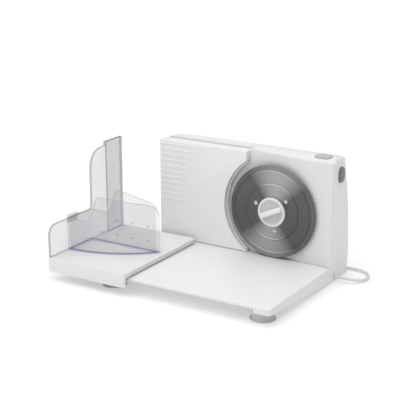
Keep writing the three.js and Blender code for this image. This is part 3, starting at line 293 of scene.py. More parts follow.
def mouldedFinish(name, low, high, roughness, grain, strength):
    # moulded plastic: slow colour drift, fine spark texture and small changes of gloss
    material, w, point = startFinish(name)
    drift = noise(w, point, 14.0, 3.0)
    spark = noise(w, point, grain, 3.0, 0.6)
    cloud = noise(w, point, 90.0, 4.0)
    closeFinish(w, plasticGloss, {
        "Base Color": blendColours(w, drift, low, high),
        "Roughness": cloud * 0.12 + (roughness - 0.06) + spark * 0.04,
        "Normal": bump(w, spark, strength, grainDepth),
    })
    return material


# each moulded finish: darker and lighter colour, roughness, grains per metre, grain strength
mouldedSettings = {
    "white satin moulding": ((0.755, 0.755, 0.75), (0.785, 0.785, 0.78), 0.36, 2600.0, 0.10),
    "plain inner moulding": ((0.66, 0.66, 0.63), (0.74, 0.74, 0.71), 0.5, 1800.0, 0.15),
    # painted light: the gauge plate's white is a lighter copy of the satin moulding, offsetting the shade cast
    # by the carriage
    "white moulding painted lighter on gauge": ((0.83, 0.83, 0.825), (0.86, 0.86, 0.855), 0.36, 2600.0, 0.10),
    "polished white knob": ((0.74, 0.74, 0.74), (0.78, 0.78, 0.78), 0.26, 2600.0, 0.05),
    "dark grey button plastic": ((0.18, 0.185, 0.18), (0.21, 0.215, 0.21), 0.42, 2400.0, 0.15),
    "pale grey button plastic": ((0.47, 0.475, 0.47), (0.52, 0.525, 0.52), 0.36, 2400.0, 0.15),
    "grey foot rubber": ((0.52, 0.52, 0.52), (0.60, 0.60, 0.60), 0.72, 1500.0, 0.35),
    "gear nylon": ((0.74, 0.72, 0.64), (0.82, 0.80, 0.72), 0.42, 1600.0, 0.12),
    "black plastic": ((0.02, 0.02, 0.02), (0.04, 0.04, 0.04), 0.5, 1800.0, 0.2),
    "white cord vinyl": ((0.66, 0.66, 0.65), (0.73, 0.73, 0.72), 0.45, 3000.0, 0.15),
    "motor paint": ((0.08, 0.085, 0.09), (0.12, 0.125, 0.13), 0.45, 900.0, 0.2),
}
moulded = {name: mouldedFinish(name, *values) for name, values in mouldedSettings.items()}
whitePlastic = moulded["white satin moulding"]
cordVinyl = moulded["white cord vinyl"]

knobSettings = {  # heights in metres
    "hubY": hub[1], "floor": -0.0020, "rim": -0.0046,
    # the first colour is the painted shade of the dish floor, the second the colour on rim and bar
    "deep": (0.50, 0.50, 0.50), "proud": (0.84, 0.84, 0.84),
}


def knobPaintedShadeFinish(name, s):
    # polished moulding with painted shade: darker evenly from its raised rim and bar down into the dish
    material, w, point = startFinish(name)
    y = w.node("ShaderNodeSeparateXYZ", {}, {0: point}, "Y")
    height = ((y - (s["hubY"] + s["floor"])) / (s["rim"] - s["floor"])).math("ADD", 0.0, clamp=True)
    spark = noise(w, point, 2600.0, 3.0, 0.6)
    drift = noise(w, point, 40.0, 3.0)
    closeFinish(w, plasticGloss, {
        # painted shade: the colour runs from the dish floor's painted shade up to the colour on rim and bar
        "Base Color": blendColours(w, height * 0.94 + drift * 0.06, s["deep"], s["proud"]),
        "Roughness": drift * 0.1 + 0.22,
        "Normal": bump(w, spark, 0.05, grainDepth),
    })
    return material


lockPlastic = knobPaintedShadeFinish("polished lock knob with painted dish shade", knobSettings)


def turnedSteelPaintedSheen(name, s):
    # steel turned on a lathe: fine rings round the axis, a painted reflection of two lighter sheen sectors
    # above and below it, a painted highlight and painted shade line at each change of slope and a paler ground
    # band at the edge
    material, w, point = startFinish(name)
    out = vectorMath(w, "SUBTRACT", point, tuple(s["centre"]))
    flat = vectorMath(w, "MULTIPLY", out, (1, 0, 1))
    radius = w.node("ShaderNodeVectorMath", {"operation": "LENGTH"}, {0: flat}, "Value")
    lean = math.radians(s["lean"])
    upright = (math.sin(lean), 0, math.cos(lean))
    rise = vectorMath(w, "DOT_PRODUCT", flat, upright, "Value") / (radius + 1e-5)
    # painted reflection: the sheen sectors are painted into the base colour where the radius points up or down
    paintedSheen = ((rise * rise - s["paintedSheenFrom"]) / (1 - s["paintedSheenFrom"])).math("MAXIMUM", 0.0)
    rings = {"Scale": s["rings"], "Detail": 2.0}
    fine = w.node("ShaderNodeTexNoise", {"noise_dimensions": "1D"}, {"W": radius, **rings}, "Fac")
    coarse = w.node("ShaderNodeTexNoise", {"noise_dimensions": "1D"}, {"W": radius * 0.12, **rings}, "Fac")
    smear = noise(w, point, 60.0, 4.0)
    band = ((radius - s["band"]) / s["bandFade"]).math("ADD", 0.0, clamp=True)
    line = 0.0
    for spot in s["lines"]:
        away = ((radius - spot) / s["lineWidth"]).math("ABSOLUTE")
        line = (away * -1.0).math("ADD", 1.0, clamp=True) + line
    shade = paintedSheen * s["paintedSheen"] * (1 - band * 0.3) + s["dark"] + band * s["bandShade"]
    shade = shade + fine * 0.03 + coarse * 0.05
    # painted highlight on the slope lines inside the sheen sectors, painted shade on them elsewhere
    shade = shade + line * (paintedSheen * s["paintedLineHighlight"] - s["paintedLineShade"])
    colour = w.node("ShaderNodeCombineColor", {}, {0: shade, 1: shade, 2: shade * 1.03}, "Color")
    closeFinish(w, {"Metallic": 1.0}, {
        "Base Color": colour,
        "Roughness": coarse * 0.12 + smear * 0.08 + (s["roughness"] - 0.1),
        "Normal": bump(w, fine, 0.5, 0.00012),
    })
    return material


def groundSteel(name, colour, roughness):
    # ground metal: short scratches and faint smears
    material, w, point = startFinish(name)
    stretched = w.node("ShaderNodeMapping", {}, {"Vector": point, "Scale": (1, 14, 1)})
    scratch = noise(w, stretched, 500.0, 3.0, 0.7)
    smear = noise(w, point, 120.0, 3.0)
    dark, light = [c * 0.88 for c in colour], [min(1, c * 1.1) for c in colour]
    closeFinish(w, {"Metallic": 1.0}, {
        "Base Color": blendColours(w, scratch, dark, light),
        "Roughness": smear * 0.15 + (roughness - 0.07),
        "Normal": bump(w, scratch, 0.15, 0.0001),
    })
    return material


steelSettings = {  # radii and widths in metres
    "centre": hub, "rings": 2600.0, "roughness": 0.32, "lean": 8.0,
    # the sheen entries set the painted reflection sectors; the line entries set the painted highlight and
    # painted shade lines
    "dark": 0.08, "paintedSheen": 0.27, "paintedSheenFrom": 0.5,
    "band": 0.0755, "bandFade": 0.0015, "bandShade": 0.02,
    "lines": (0.0505, 0.0750), "lineWidth": 0.0011, "paintedLineHighlight": 0.50, "paintedLineShade": 0.055,
}
bladeSteel = turnedSteelPaintedSheen("turned blade steel with painted sheen", steelSettings)
brightSteel = groundSteel("bright steel", (0.58, 0.59, 0.60), 0.28)
plugBrass = groundSteel("plug brass", (0.62, 0.48, 0.22), 0.3)
screwSteel = groundSteel("blackened screw steel", (0.06, 0.06, 0.06), 0.4)


def clearFinish(name, s):
    # clear styrene: almost see-through and denser where the eye looks along the sheet; rim runs from the
    # sheet's face at nothing through a grey edge at one to a coloured edge at two
    material, w, point = startFinish(name)
    rim = w.node("ShaderNodeAttribute", {"attribute_name": "rim"}, {}, "Fac")
    grey, tinted = rim.math("MINIMUM", 1.0), (rim - 1.0).math("MAXIMUM", 0.0)
    haze = noise(w, point, 30.0, 3.0)
    ripple = noise(w, point, 55.0, 2.0)
    facing = w.node("ShaderNodeLayerWeight", {}, {"Blend": 0.35}, "Facing")
    edge = blendColours(w, tinted, s["edge"], s["tint"])
    dense = facing * facing * 0.25 + grey * s["edgeAlpha"] + tinted * 0.2
    closeFinish(w, {"IOR": 1.5, "Specular IOR Level": 0.5}, {
        "Base Color": blendColours(w, grey, s["body"], edge),
        "Roughness": haze * 0.06 + 0.05,
        "Alpha": dense + haze * 0.04 + s["alpha"],
        "Normal": bump(w, ripple, 0.04, 0.002),
    })
    return material


clearWall = clearFinish("clear wall styrene", {
    "body": (0.55, 0.55, 0.55), "edge": (0.16, 0.16, 0.16), "tint": (0.16, 0.16, 0.16),
    "alpha": 0.17, "edgeAlpha": 0.36,
})
clearPusher = clearFinish("clear pusher styrene", {
    "body": (0.52, 0.52, 0.57), "edge": (0.20, 0.20, 0.24), "tint": (0.16, 0.13, 0.56),
    "alpha": 0.13, "edgeAlpha": 0.30,
})
print("finishes ready")


# mains cord: free length and coil
cordSettings = {
    "radius": 2.6, "exit": (363.3, 245.0, -21.5), "bendAt": 368.2, "low": -27.15, "straight": 164.0,
    "coilAt": (190.0, 347.0), "coilTurns": 2.5, "coilMiddle": 29.0, "coilPitch": 5.9,
    "climbDip": 0.8, "leadOut": 31.0, "stepsPerLoop": 48, "spacing": 2.0, "sides": 14,
}


def cordPath(s):
    # the free length's points, then a flat spiral in, a climbing half turn and a spiral out
    cx, cy = s["coilAt"]
    outer = s["coilMiddle"] + s["coilTurns"] * s["coilPitch"] / 2
    entryY = cy - outer
    exitX, exitY, exitZ = s["exit"]
    half = (entryY - exitY) / 2
    bendX = s["bendAt"]
    degrees = np.radians([-90, -80, -69, -57, -44, -30, -15, 0, 16, 32, 48, 63, 77, 90])
    share = np.array([0.005, 0.06, 0.18, 0.36, 0.6, 0.84, 0.98, 1, 1, 1, 1, 1, 1, 1])
    turn = np.stack([
        bendX + half * np.cos(degrees),
        exitY + half + half * np.sin(degrees),
        exitZ - (exitZ - s["low"]) * share,
    ], 1)
    run = np.array([[bendX - k * s["straight"], entryY, s["low"]] for k in (0.12, 0.3, 0.5, 0.7, 0.9)])
    n = int(s["coilTurns"] * s["stepsPerLoop"])
    climb = s["stepsPerLoop"] // 2
    i = np.arange(2 * n + climb + 1)
    up = np.clip((i - n) / climb, 0, 1)
    wound = np.minimum(n, np.where(i <= n, i, 2 * n + climb - i)) / s["stepsPerLoop"]
    radius = outer - s["coilPitch"] * wound - s["climbDip"] * np.sin(math.pi * up)
    angle = -quarterTurn - tau * i / s["stepsPerLoop"]
    rise = s["coilPitch"] * (0.5 - 0.5 * np.cos(math.pi * up))
    coil = np.stack([cx + radius * np.cos(angle), cy + radius * np.sin(angle), s["low"] + rise], 1)
    leadZ = s["low"] + s["coilPitch"]
    lead = np.array([[cx + k * s["leadOut"], cy + outer, leadZ] for k in (0.33, 0.66, 1.0)])
    first = np.array([[exitX, exitY, exitZ]])
    return np.concatenate([first, turn, run, coil, lead])


def smoothPath(points, spacing):
    # cubic pieces through the points with even tangents, sampled at about the same spacing
    step = np.linalg.norm(np.diff(points, axis=0), axis=1)
    knots = np.concatenate([[0], np.cumsum(step)])
    slope = np.gradient(points, knots, axis=0)
    s = np.linspace(0, knots[-1], int(knots[-1] / spacing))
    k = np.clip(np.searchsorted(knots, s, side="right") - 1, 0, len(step) - 1)
    h = step[k][:, None]
    t = ((s - knots[k]) / step[k])[:, None]
    a = (1 + 2 * t) * (1 - t) ** 2 * points[k] + t * (1 - t) ** 2 * h * slope[k]
    b = t * t * (3 - 2 * t) * points[k + 1] + t * t * (t - 1) * h * slope[k + 1]
    return a + b


def tube(path, radius, sides):
    # a circle carried square along the path; sideways is always level
    ahead = np.gradient(path, axis=0)
    ahead /= np.linalg.norm(ahead, axis=1)[:, None]
    sideways = np.cross(ahead, [0, 0, 1.0])
    sideways /= np.linalg.norm(sideways, axis=1)[:, None]
    above = np.cross(sideways, ahead)
    angle = np.arange(sides) * tau / sides
    ring = np.cos(angle)[None, :, None] * sideways[:, None] + np.sin(angle)[None, :, None] * above[:, None]
    return path[:, None] + radius * ring


cordLine = smoothPath(cordPath(cordSettings), cordSettings["spacing"])
cord = addPiece(
    "mains_cord", [skin(tube(cordLine, cordSettings["radius"], cordSettings["sides"]))],
    "machine", cordVinyl, ["power_cord", "cord_coil"],
)

# room
roomSettings = {
    "floor": 30.0, "floorGreys": (0.67, 0.69), "floorLight": 0.3,
    "sky": ((0.0, 1.0), (0.045, 1.0), (0.06, 0.71), (0.2, 0.235), (1.0, 0.84)),
    "skyLight": 1.0, "key": 1.78, "keyFrom": (-0.3, -0.5, 1.7), "keyAngle": 80.0,
}


def makeFloor(s):
    # a light table: the floor shines a little by itself, so shadows stay pale
    material, w, point = startFinish("pale floor")
    mottle = noise(w, point, 3.0, 2.0)
    dark, light = s["floorGreys"]
    colour = blendColours(w, mottle, [dark] * 3, [light] * 3)
    lit = {"Emission Color": (1, 1, 1, 1), "Emission Strength": s["floorLight"]}
    closeFinish(w, {"Roughness": 0.6, "Specular IOR Level": 0.2, **lit}, {"Base Color": colour})
    half = s["floor"]
    corners = [(-half, -half, 0), (half, -half, 0), (half, half, 0), (-half, half, 0)]
    mesh = bpy.data.meshes.new("floor")
    mesh.from_pydata(corners, [], [(0, 1, 2, 3)])
    mesh.materials.append(material)
    floor = bpy.data.objects.new("floor", mesh)
    scene.collection.objects.link(floor)


def makeLight(s):
    # a ceiling of light over a white strip at the horizon: grey by the sine of the height above it
    world = bpy.data.worlds.new("studio")
    world.use_nodes = True
    world.node_tree.nodes.clear()
    w = Wire(world.node_tree)
    height = w.node("ShaderNodeSeparateXYZ", {}, {0: objectPoint(w)}, "Z").math("MAXIMUM", 0.0)
    stops = [(spot, (v, v, v)) for spot, v in s["sky"]]
    grey = w.node("ShaderNodeValToRGB", {"stops": stops}, {"Fac": height})
    light = w.node("ShaderNodeBackground", {}, {"Color": grey, "Strength": s["skyLight"]})
    w.node("ShaderNodeOutputWorld", {}, {"Surface": light})
    scene.world = world
    data = bpy.data.lights.new("soft key", "SUN")
    data.energy, data.angle = s["key"], math.radians(s["keyAngle"])
    key = bpy.data.objects.new("soft key", data)
    key.rotation_euler = Vector(s["keyFrom"]).to_track_quat("Z", "Y").to_euler()
    scene.collection.objects.link(key)


makeFloor(roomSettings)
makeLight(roomSettings)
scene.view_settings.view_transform = "Standard"
print("room ready")

# mouldings with rolled edges; reach is counted back from the housing's face
mouldings = {
    "base_plate": {"body": "machine", "width": 1.0},
    "rear_shell": {
        "body": "machine",
        "back": {"radius": 2.8, "segments": 6, "ends": (0.0, 354.0), "fade": (168.0, 184.0)},
    },
    "front_panel": {
        "body": "machine", "width": 0.4, "reach": (-20, 1.4), "border": 2.4,
        "limits": {"left": 0.1, "right": 353.9, "top": 185.5},
    },
    "gear_well": {"body": "machine", "width": 0.5},
    # the gauge plate takes the lighter copy of the white moulding, painted light against the carriage's shade
    "gauge_plate": {"body": "gauge", "width": 0.7, "finish": moulded["white moulding painted lighter on gauge"]},
    "carriage_plate": {"body": "carriage", "width": 1.0},
}
rollSettings = {
    "sharp": 25, "spareAngle": 5, "flatAngle": 0.4, "shortest": 1e-5, "segments": 3, "borderSegments": 5,
}
faceSettings = {"front": 223.0, "setback": 16.0, "left": 140.5, "right": 354.0}


def rollEdges(bm, edges, width, segments):
    # the clamp narrows a roll where edges lie close: to about 0.3 on the base, 0.2 on the carriage, 0.5 on the
    # panel's border and nothing in the gear well
    bmesh.ops.bevel(
        bm, geom=edges, offset=width * millimetre, offset_type="OFFSET", segments=segments, profile=0.5,
        affect="EDGES", clamp_overlap=True,
    )


def behindFace(point):
    # how far a point stands behind the slanting face of the housing, in millimetres
    s = faceSettings
    x, y, _ = measure(point)
    return y - s["front"] - s["setback"] * (s["right"] - x) / (s["right"] - s["left"])


def facesBack(normal):  # mostly backwards and hardly sideways
    return normal.y > 0.5 and abs(normal.x) < 0.3


def rollBack(bm, s):
    # upright back corners of the shell: a back point nearer than radius to an end is pulled in along its
    # normal by radius - sqrt(radius^2 - (radius - distance)^2), fading out towards the arched top
    radius = s["radius"] * millimetre
    (left, _, fadeFrom), (right, _, fadeTo) = place([(x, 0, z) for x, z in zip(s["ends"], s["fade"])])
    for end, inwards in ((left, 1), (right, -1)):
        for angle in np.linspace(0, quarterTurn, s["segments"] + 1)[1:]:
            cut = Vector((end + inwards * radius * (1 - math.cos(angle)), 0, 0))
            everything = [*bm.verts, *bm.edges, *bm.faces]
            bmesh.ops.bisect_plane(bm, geom=everything, dist=1e-7, plane_co=cut, plane_no=(1, 0, 0))
    bm.normal_update()
    pulls = []
    for vert in bm.verts:
        backs = [face.normal for face in vert.link_faces if facesBack(face.normal)]
        short = radius - min(abs(vert.co.x - left), abs(vert.co.x - right))
        if backs and short > 0:
            share = min(1, max(0, (fadeTo - vert.co.z) / (fadeTo - fadeFrom)))
            pull = radius - math.sqrt(max(0, radius * radius - short * short))
            pulls.append((vert, sum(backs, Vector()).normalized() * pull * share))
    for vert, pull in pulls:
        vert.co -= pull


def softened(node, s, finish):
    # the moulding's own solid with its convex edges rolled over: edges past the limits get the larger border
    # radius, reach keeps the roll off the seam between panel and shell, and back rounds only the back corners
    bm = bmesh.new()
    bm.from_mesh(frame["nodes"][node].data)
    bmesh.ops.remove_doubles(bm, verts=bm.verts, dist=mergeDistance)
    flat, sharp = math.radians(rollSettings["flatAngle"]), math.radians(rollSettings["sharp"])
    bmesh.ops.dissolve_limit(bm, angle_limit=flat, verts=bm.verts, edges=bm.edges)

    def middle(edge):
        return (edge.verts[0].co + edge.verts[1].co) / 2

    def convex(edge):
        if len(edge.link_faces) != 2 or not edge.is_convex:
            return False
        near, far = s.get("reach", (-math.inf, math.inf))
        return edge.calc_face_angle(0) > sharp and near < behindFace(middle(edge)) < far

    def border(edge):
        x, _, z = measure(middle(edge))
        return x < s["limits"]["left"] or x > s["limits"]["right"] or z > s["limits"]["top"]

    if "back" in s:
        rollBack(bm, s["back"])
    elif "border" in s:
        outer = [e for e in bm.edges if convex(e) and border(e)]
        rollEdges(bm, outer, s["border"], rollSettings["borderSegments"])
        inner = [e for e in bm.edges if convex(e) and not border(e)]
        rollEdges(bm, inner, s["width"], rollSettings["segments"])
    else:
        rollEdges(bm, [e for e in bm.edges if convex(e)], s["width"], rollSettings["segments"])
    bmesh.ops.dissolve_degenerate(bm, dist=rollSettings["shortest"], edges=bm.edges)
    bmesh.ops.triangulate(bm, faces=[f for f in bm.faces if len(f.verts) > 4])
    sharpen(bm, rollSettings["sharp"] + rollSettings["spareAngle"])
    return addObject(node + "_moulding", bm, s["body"], finish, [node])


for node, s in mouldings.items():
    softened(node, s, s.get("finish", whitePlastic))
print("mouldings ready")

# blade: a bevelled disc with a waved edge
bladeSettings = {
    "radius": 85.0, "thickness": 2.2, "bore": 6.3, "edgeFront": 1.54,
    "dish": 51.5, "dishDepth": 0.6, "stepWidth": 2.4, "bevel": 10.0,
    "ridge": 0.22, "ridgeWidth": 0.9, "ridgeOffset": 1.6,
    "waves": 90, "waveDepth": 1.3, "waveReach": 7.0, "steps": 1080,
}


def bladeSurface(s):
    # front height by radius: a sunk dish, a soft step, a flat land and a bevel, with a low ridge at each
    # change; near the edge the radius dips by depth x (1 - cos(waves x angle)) / 2
    top = s["radius"]
    bevelStart = top - s["bevel"]
    r = np.concatenate([  # closer together at the two changes of slope
        [s["bore"], 20, 32, 42, 47], np.linspace(49, 54, 16), [58, 64, 69, 72], np.linspace(73, 77, 14),
        np.linspace(78, 84.6, 9), [top],
    ])
    step = np.clip((r - s["dish"] + s["stepWidth"] / 2) / s["stepWidth"], 0, 1)
    step = step * step * (3 - 2 * step)
    fall = np.clip(r - bevelStart, 0, None) / s["bevel"]
    inner = np.exp(-((r - s["dish"] - s["ridgeOffset"]) / s["ridgeWidth"]) ** 2)
    outer = np.exp(-((r - bevelStart) / s["ridgeWidth"]) ** 2)
    front = s["dishDepth"] * (1 - step) + s["edgeFront"] * fall - s["ridge"] * (inner + outer)
    back = np.array([(radius, s["thickness"]) for radius in (top, 70, 30, s["bore"])])
    profile = np.concatenate([np.stack([r, front], 1), back])
    reach = np.clip((profile[:, :1] - top + s["waveReach"]) / s["waveReach"], 0, 1) ** 2

    def wave(angle):
        return -s["waveDepth"] * reach * (0.5 - 0.5 * np.cos(s["waves"] * angle))

    return lathe(profile, bladeHub, "y", s["steps"], wave)


addPiece(
    "slicing_blade", [skin(bladeSurface(bladeSettings), ring=True)],
    "blade", bladeSteel, ["blade_disc"], sharp=30,
)
print("blade ready")

# rivets through blade and gear ring
rivetSettings = {"circle": 35.0, "bearings": (41, 160, 279), "steps": 28}
rivetProfile = [
    (0, -0.72), (0.8, -0.72), (1.1, -0.5), (1.7, -0.5), (2.0, -0.7), (2.7, -0.6), (3.4, -0.25), (3.9, 0.05),
    (4.0, 0.3), (2.0, 0.3), (2.0, 6.5), (0, 6.5),
]
for number, bearing in enumerate(np.radians(rivetSettings["bearings"]), 1):
    reach = rivetSettings["circle"] * np.array([math.cos(bearing), 0, math.sin(bearing)])
    loops = lathe(rivetProfile, reach + bladeHub, "y", rivetSettings["steps"])
    addPiece(
        f"rivet_{number}", [skin(loops, caps=False)], "blade", brightSteel,
        [f"blade_rivet_{number}"], sharp=30,
    )
print("rivets ready")

# lock knob: a dished disc with a raised rim and a slanting bar; barFoot and barCrown give inset and height
lockSettings = {
    "floor": -2.5, "slant": 25.0, "tightest": 0.2, "points": 96, "steps": 120,
    "barHalf": (23.6, 5.2), "barCorner": 4.4, "barTop": -10.4, "barRoll": 2.6, "barDraft": 0.6,
    "barFoot": ((0, 0.4), (0, 0), (0.35, -0.8)), "barCrown": (4.2, -0.15),
}
lockProfile = [
    (0, -2.5), (18, -2.5), (20.6, -2.6), (21.8, -2.9), (22.6, -3.5), (23.0, -4.2), (23.5, -4.65),
    (24.2, -4.8), (25.0, -4.65), (25.9, -4.2), (26.6, -3.4), (26.95, -2.4), (27, -1.2), (27, 0.3),
    (6.3, 0.3), (6.3, -1.5), (0, -1.5),
]


def gripBar(s):
    # bar raised from the dish: loops of its plan, pulled in by 1 - cos and lifted by sin of the roll angle
    roll, (halfA, halfB) = s["barRoll"], s["barHalf"]
    levels = [(inset, s["floor"] + height) for inset, height in s["barFoot"]]
    for q in np.linspace(0, quarterTurn, 7):
        levels.append((s["barDraft"] + roll * (1 - math.cos(q)), s["barTop"] + roll * (1 - math.sin(q))))
    levels.append((s["barCrown"][0], s["barTop"] + s["barCrown"][1]))
    cos, sin = math.cos(math.radians(s["slant"])), math.sin(math.radians(s["slant"]))
    loops = []
    for inset, y in levels:
        radius = max(s["tightest"], s["barCorner"] - inset)
        a, b = roundedLoop(halfA - inset, halfB - inset, radius, s["points"]).T
        loops.append(lifted(np.stack([a * cos - b * sin, a * sin + b * cos], 1), y, "ahb"))
    return np.array(loops) + bladeHub


addPiece(
    "lock_knob_cap",
    [
        skin(lathe(lockProfile, bladeHub, "y", lockSettings["steps"]), caps=False),
        skin(gripBar(lockSettings)),
    ],
    "lock_knob", lockPlastic, ["lock_knob"],
)
print("lock knob ready")


# push buttons: low domed ovals with a retaining flange inside
buttonSettings = {
    "safety_button": {
        "at": (325.0, 247.0, 190.0), "half": (16.0, 10.0), "proud": 6.0, "order": "abh",
        "finish": moulded["pale grey button plastic"],
    },
    "power_button": {
        "at": (354.0, 258.0, 162.0), "half": (9.0, 13.5), "proud": 5.0, "order": "hab",
        "finish": moulded["dark grey button plastic"],
    },
}
buttonForm = {
    "flange": ((-2, -6.3), (-2, -3.3), (0, -3.3)),  # inset and height of its loops
    "crown": 1.5, "roll": 1.2, "middle": 0.3, "points": 96,
}


def buttonSurface(s, form):
    # oval loops: flange, neck, quarter-round shoulder and a crown that rises as 1 - (share of the way out)^2
    halfA, halfB = s["half"]
    edge = min(s["half"])
    crown, roll = form["crown"], form["roll"]
    shoulder = s["proud"] - crown
    levels = [*form["flange"], (0, shoulder - roll)]
    for q in np.linspace(0.2, quarterTurn, 6):
        levels.append((roll * (1 - math.cos(q)), shoulder - roll * (1 - math.sin(q))))
    for k in np.linspace(0.1, 1, 8):
        levels.append((roll + k * (edge - roll - form["middle"]), shoulder + crown * (1 - (1 - k) ** 2)))
    loops = []
    for inset, height in levels:
        flat = roundedLoop(halfA - inset, halfB - inset, edge - inset, form["points"])
        loops.append(lifted(flat, height, s["order"]))
    return np.array(loops) + s["at"]


for node, s in buttonSettings.items():
    surface = buttonSurface(s, buttonForm)
    addPiece(node + "_cap", [skin(surface)], node, s["finish"], [node])
print("buttons ready")

# feet: rubber cups with a rolled sole, cut to the slope of the base
footSettings = {
    "places": {
        "foot_front_left": (29.0, 33.0), "foot_front_right": (325.0, 33.0),
        "foot_rear_left": (29.0, 269.0), "foot_rear_right": (325.0, 269.0),
    },
    "floor": -31.0, "front": -10.5, "rear": -28.5, "wedge": 210.0, "clear": 0.3, "soleClear": 0.1,
    "neck": (18, 17.6, 6), "neckRoll": 0.4, "steps": 64,
    "stub": 6.0, "stubLow": -29.5, "stubRise": 7.0, "stubChamfer": 0.5, "stubSteps": 32,
}
footProfile = [
    (0, 1.0), (18.3, 1.0), (19.1, 0.6), (19.8, 0.0), (21.0, 0.0), (21.7, 0.2), (22.0, 0.6), (21.9, 1.1),
    (21.2, 1.5), (20.1, 1.9), (19.0, 2.5), (18.3, 3.2), (18.0, 4.2),
]


def underBase(s, y):
    # the underside falls evenly to the wedge's end and is level behind it
    return s["front"] + (s["rear"] - s["front"]) * np.minimum(y, s["wedge"]) / s["wedge"]


def footSurface(x, y, s):
    # turned sole below; above it the neck ends on the plane that runs with the base's underside
    low = lathe(np.array(footProfile) + (0, s["floor"]), (x, y, 0), "z", s["steps"])
    neck = lathe([(radius, 0) for radius in s["neck"]], (x, y, 0), "z", s["steps"])
    neck[..., 2] = underBase(s, neck[..., 1]) - s["clear"]
    neck[0, :, 2] -= s["neckRoll"]
    low[..., 2] = np.minimum(low[..., 2], underBase(s, low[..., 1]) - s["clear"] - s["soleClear"])
    return np.concatenate([low, neck])


def footStub(x, y, s):
    # chamfered peg that goes up into the base
    radius, low, top = s["stub"], s["stubLow"], underBase(s, y) + s["stubRise"]
    chamfer = s["stubChamfer"]
    profile = [(0, low), (radius, low), (radius, top - chamfer), (radius - chamfer, top), (0, top)]
    return lathe(profile, (x, y, 0), "z", s["stubSteps"])


for node, (x, y) in footSettings["places"].items():
    sole, stub = footSurface(x, y, footSettings), footStub(x, y, footSettings)
    addPiece(
        node + "_rubber", [skin(sole), skin(stub, caps=False)],
        "machine", moulded["grey foot rubber"], [node],
    )
print("feet ready")

# thickness knob: a dial with a fluted grip and a raised pointer
thicknessSettings = {
    "at": (75.0, 0.0, 90.0), "steps": 400,
    "lobes": 20, "lobeDepth": 0.6, "lobesFrom": 301.4, "lobesTo": 312.6, "lobesFade": 1.5, "lobesInner": 14,
}
thicknessProfile = np.array([
    (0, 307.1), (4.3, 307.1), (4.3, 298.3), (21.3, 298.3), (21.8, 298.5), (22, 299), (22, 300.5),
    (21.8, 301.0), (21.3, 301.25), (19.4, 301.3), (18.8, 301.5), (18.55, 302.0), (18.5, 303), (18.5, 310),
    (18.35, 310.9), (17.9, 311.6), (17.2, 312.1), (16.2, 312.3), (15, 312.25), (13.5, 311.9), (8, 311.6),
    (0, 311.5),
])
pointerSettings = {
    "half": (1.3, 5.0), "corner": 1.25, "above": 8.5, "points": 48,
    "levels": ((0, 311.0), (0, 312.4), (0.25, 312.75), (0.7, 312.9)),  # inset and height of its loops
}


def thicknessSurface(s):
    # the grip's radius dips by depth x (1 - cos(lobes x angle)); the dips fade towards the grip's face
    radius, y = thicknessProfile[:, :1], thicknessProfile[:, 1:]
    fluted = (y > s["lobesFrom"]) & (radius > s["lobesInner"])
    swing = fluted * np.clip((s["lobesTo"] - y) / s["lobesFade"], 0, 1)

    def wave(angle):
        return s["lobeDepth"] * swing * (np.cos(s["lobes"] * angle) - 1)

    return lathe(thicknessProfile, s["at"], "y", s["steps"], wave)


def pointerBar(s, knob):
    # short upright bar on the grip's face: each loop is the plan shrunk by its inset
    flat, half = roundedLoop(*s["half"], s["corner"], s["points"]), np.array(s["half"])
    loops = [lifted(flat * (1 - inset / half), y, "ahb") for inset, y in s["levels"]]
    return np.array(loops) + knob["at"] + (0, 0, s["above"])


addPiece(
    "thickness_grip",
    [
        skin(thicknessSurface(thicknessSettings), caps=False),
        skin(pointerBar(pointerSettings, thicknessSettings)),
    ],
    "thickness_knob", moulded["polished white knob"], ["thickness_knob"], sharp=30,
)
print("thickness knob ready")

# strain relief
glandSettings = {
    "y": 245.0, "z": -21.5, "root": 3.8, "tip": 3.2, "from": 355.0, "to": 362.4,
    "rings": 2, "depth": 0.2, "endLength": 0.6, "endRoll": 0.5, "steps": 40,
}
glandRoot = [(0, 348.7), (3.9, 348.7), (4.2, 349.0), (4.2, 350.4), (4.0, 350.7), (3.8, 350.7)]


def glandSurface(s):
    # tapering sleeve: radius falls evenly and dips by depth x (1 - cos) once per ring
    t = np.linspace(0, 1, 61)
    radius = s["root"] + (s["tip"] - s["root"]) * t - s["depth"] * (1 - np.cos(tau * s["rings"] * t))
    sleeve = np.stack([radius, s["from"] + (s["to"] - s["from"]) * t], 1)
    end = s["to"] + s["endLength"]
    profile = np.concatenate([glandRoot, sleeve, [(s["tip"] - s["endRoll"], end), (0, end)]])
    return lathe(profile, (0, s["y"], s["z"]), "x", s["steps"])


relief = addPiece(
    "strain_relief", [skin(glandSurface(glandSettings), caps=False)],
    "machine", cordVinyl, ["cord_gland"],
)

# plug and pins
plugSettings = {
    "y": 383.375, "z": -21.25, "start": 221.3,
    "neck": 10.0, "neckRoot": 3.6, "neckEnd": 6.0, "ribs": 4, "ribDepth": 0.3,
    "shoulder": 6.0, "length": 36.0, "half": (13.5, 7.5), "corner": 5.2,
    "waist": (15.0, 23.0), "waistHalf": (12.6, 7.2), "waistFade": 6.0,
    "endRoll": 1.2, "endCorner": 4.6, "points": 96, "pins": 18.6, "pinSteps": 28,
}
pinProfile = [(0, 261.3), (2.2, 261.3), (2.2, 285.0), (2.0, 285.7), (1.5, 286.1), (0.8, 286.3), (0, 286.3)]


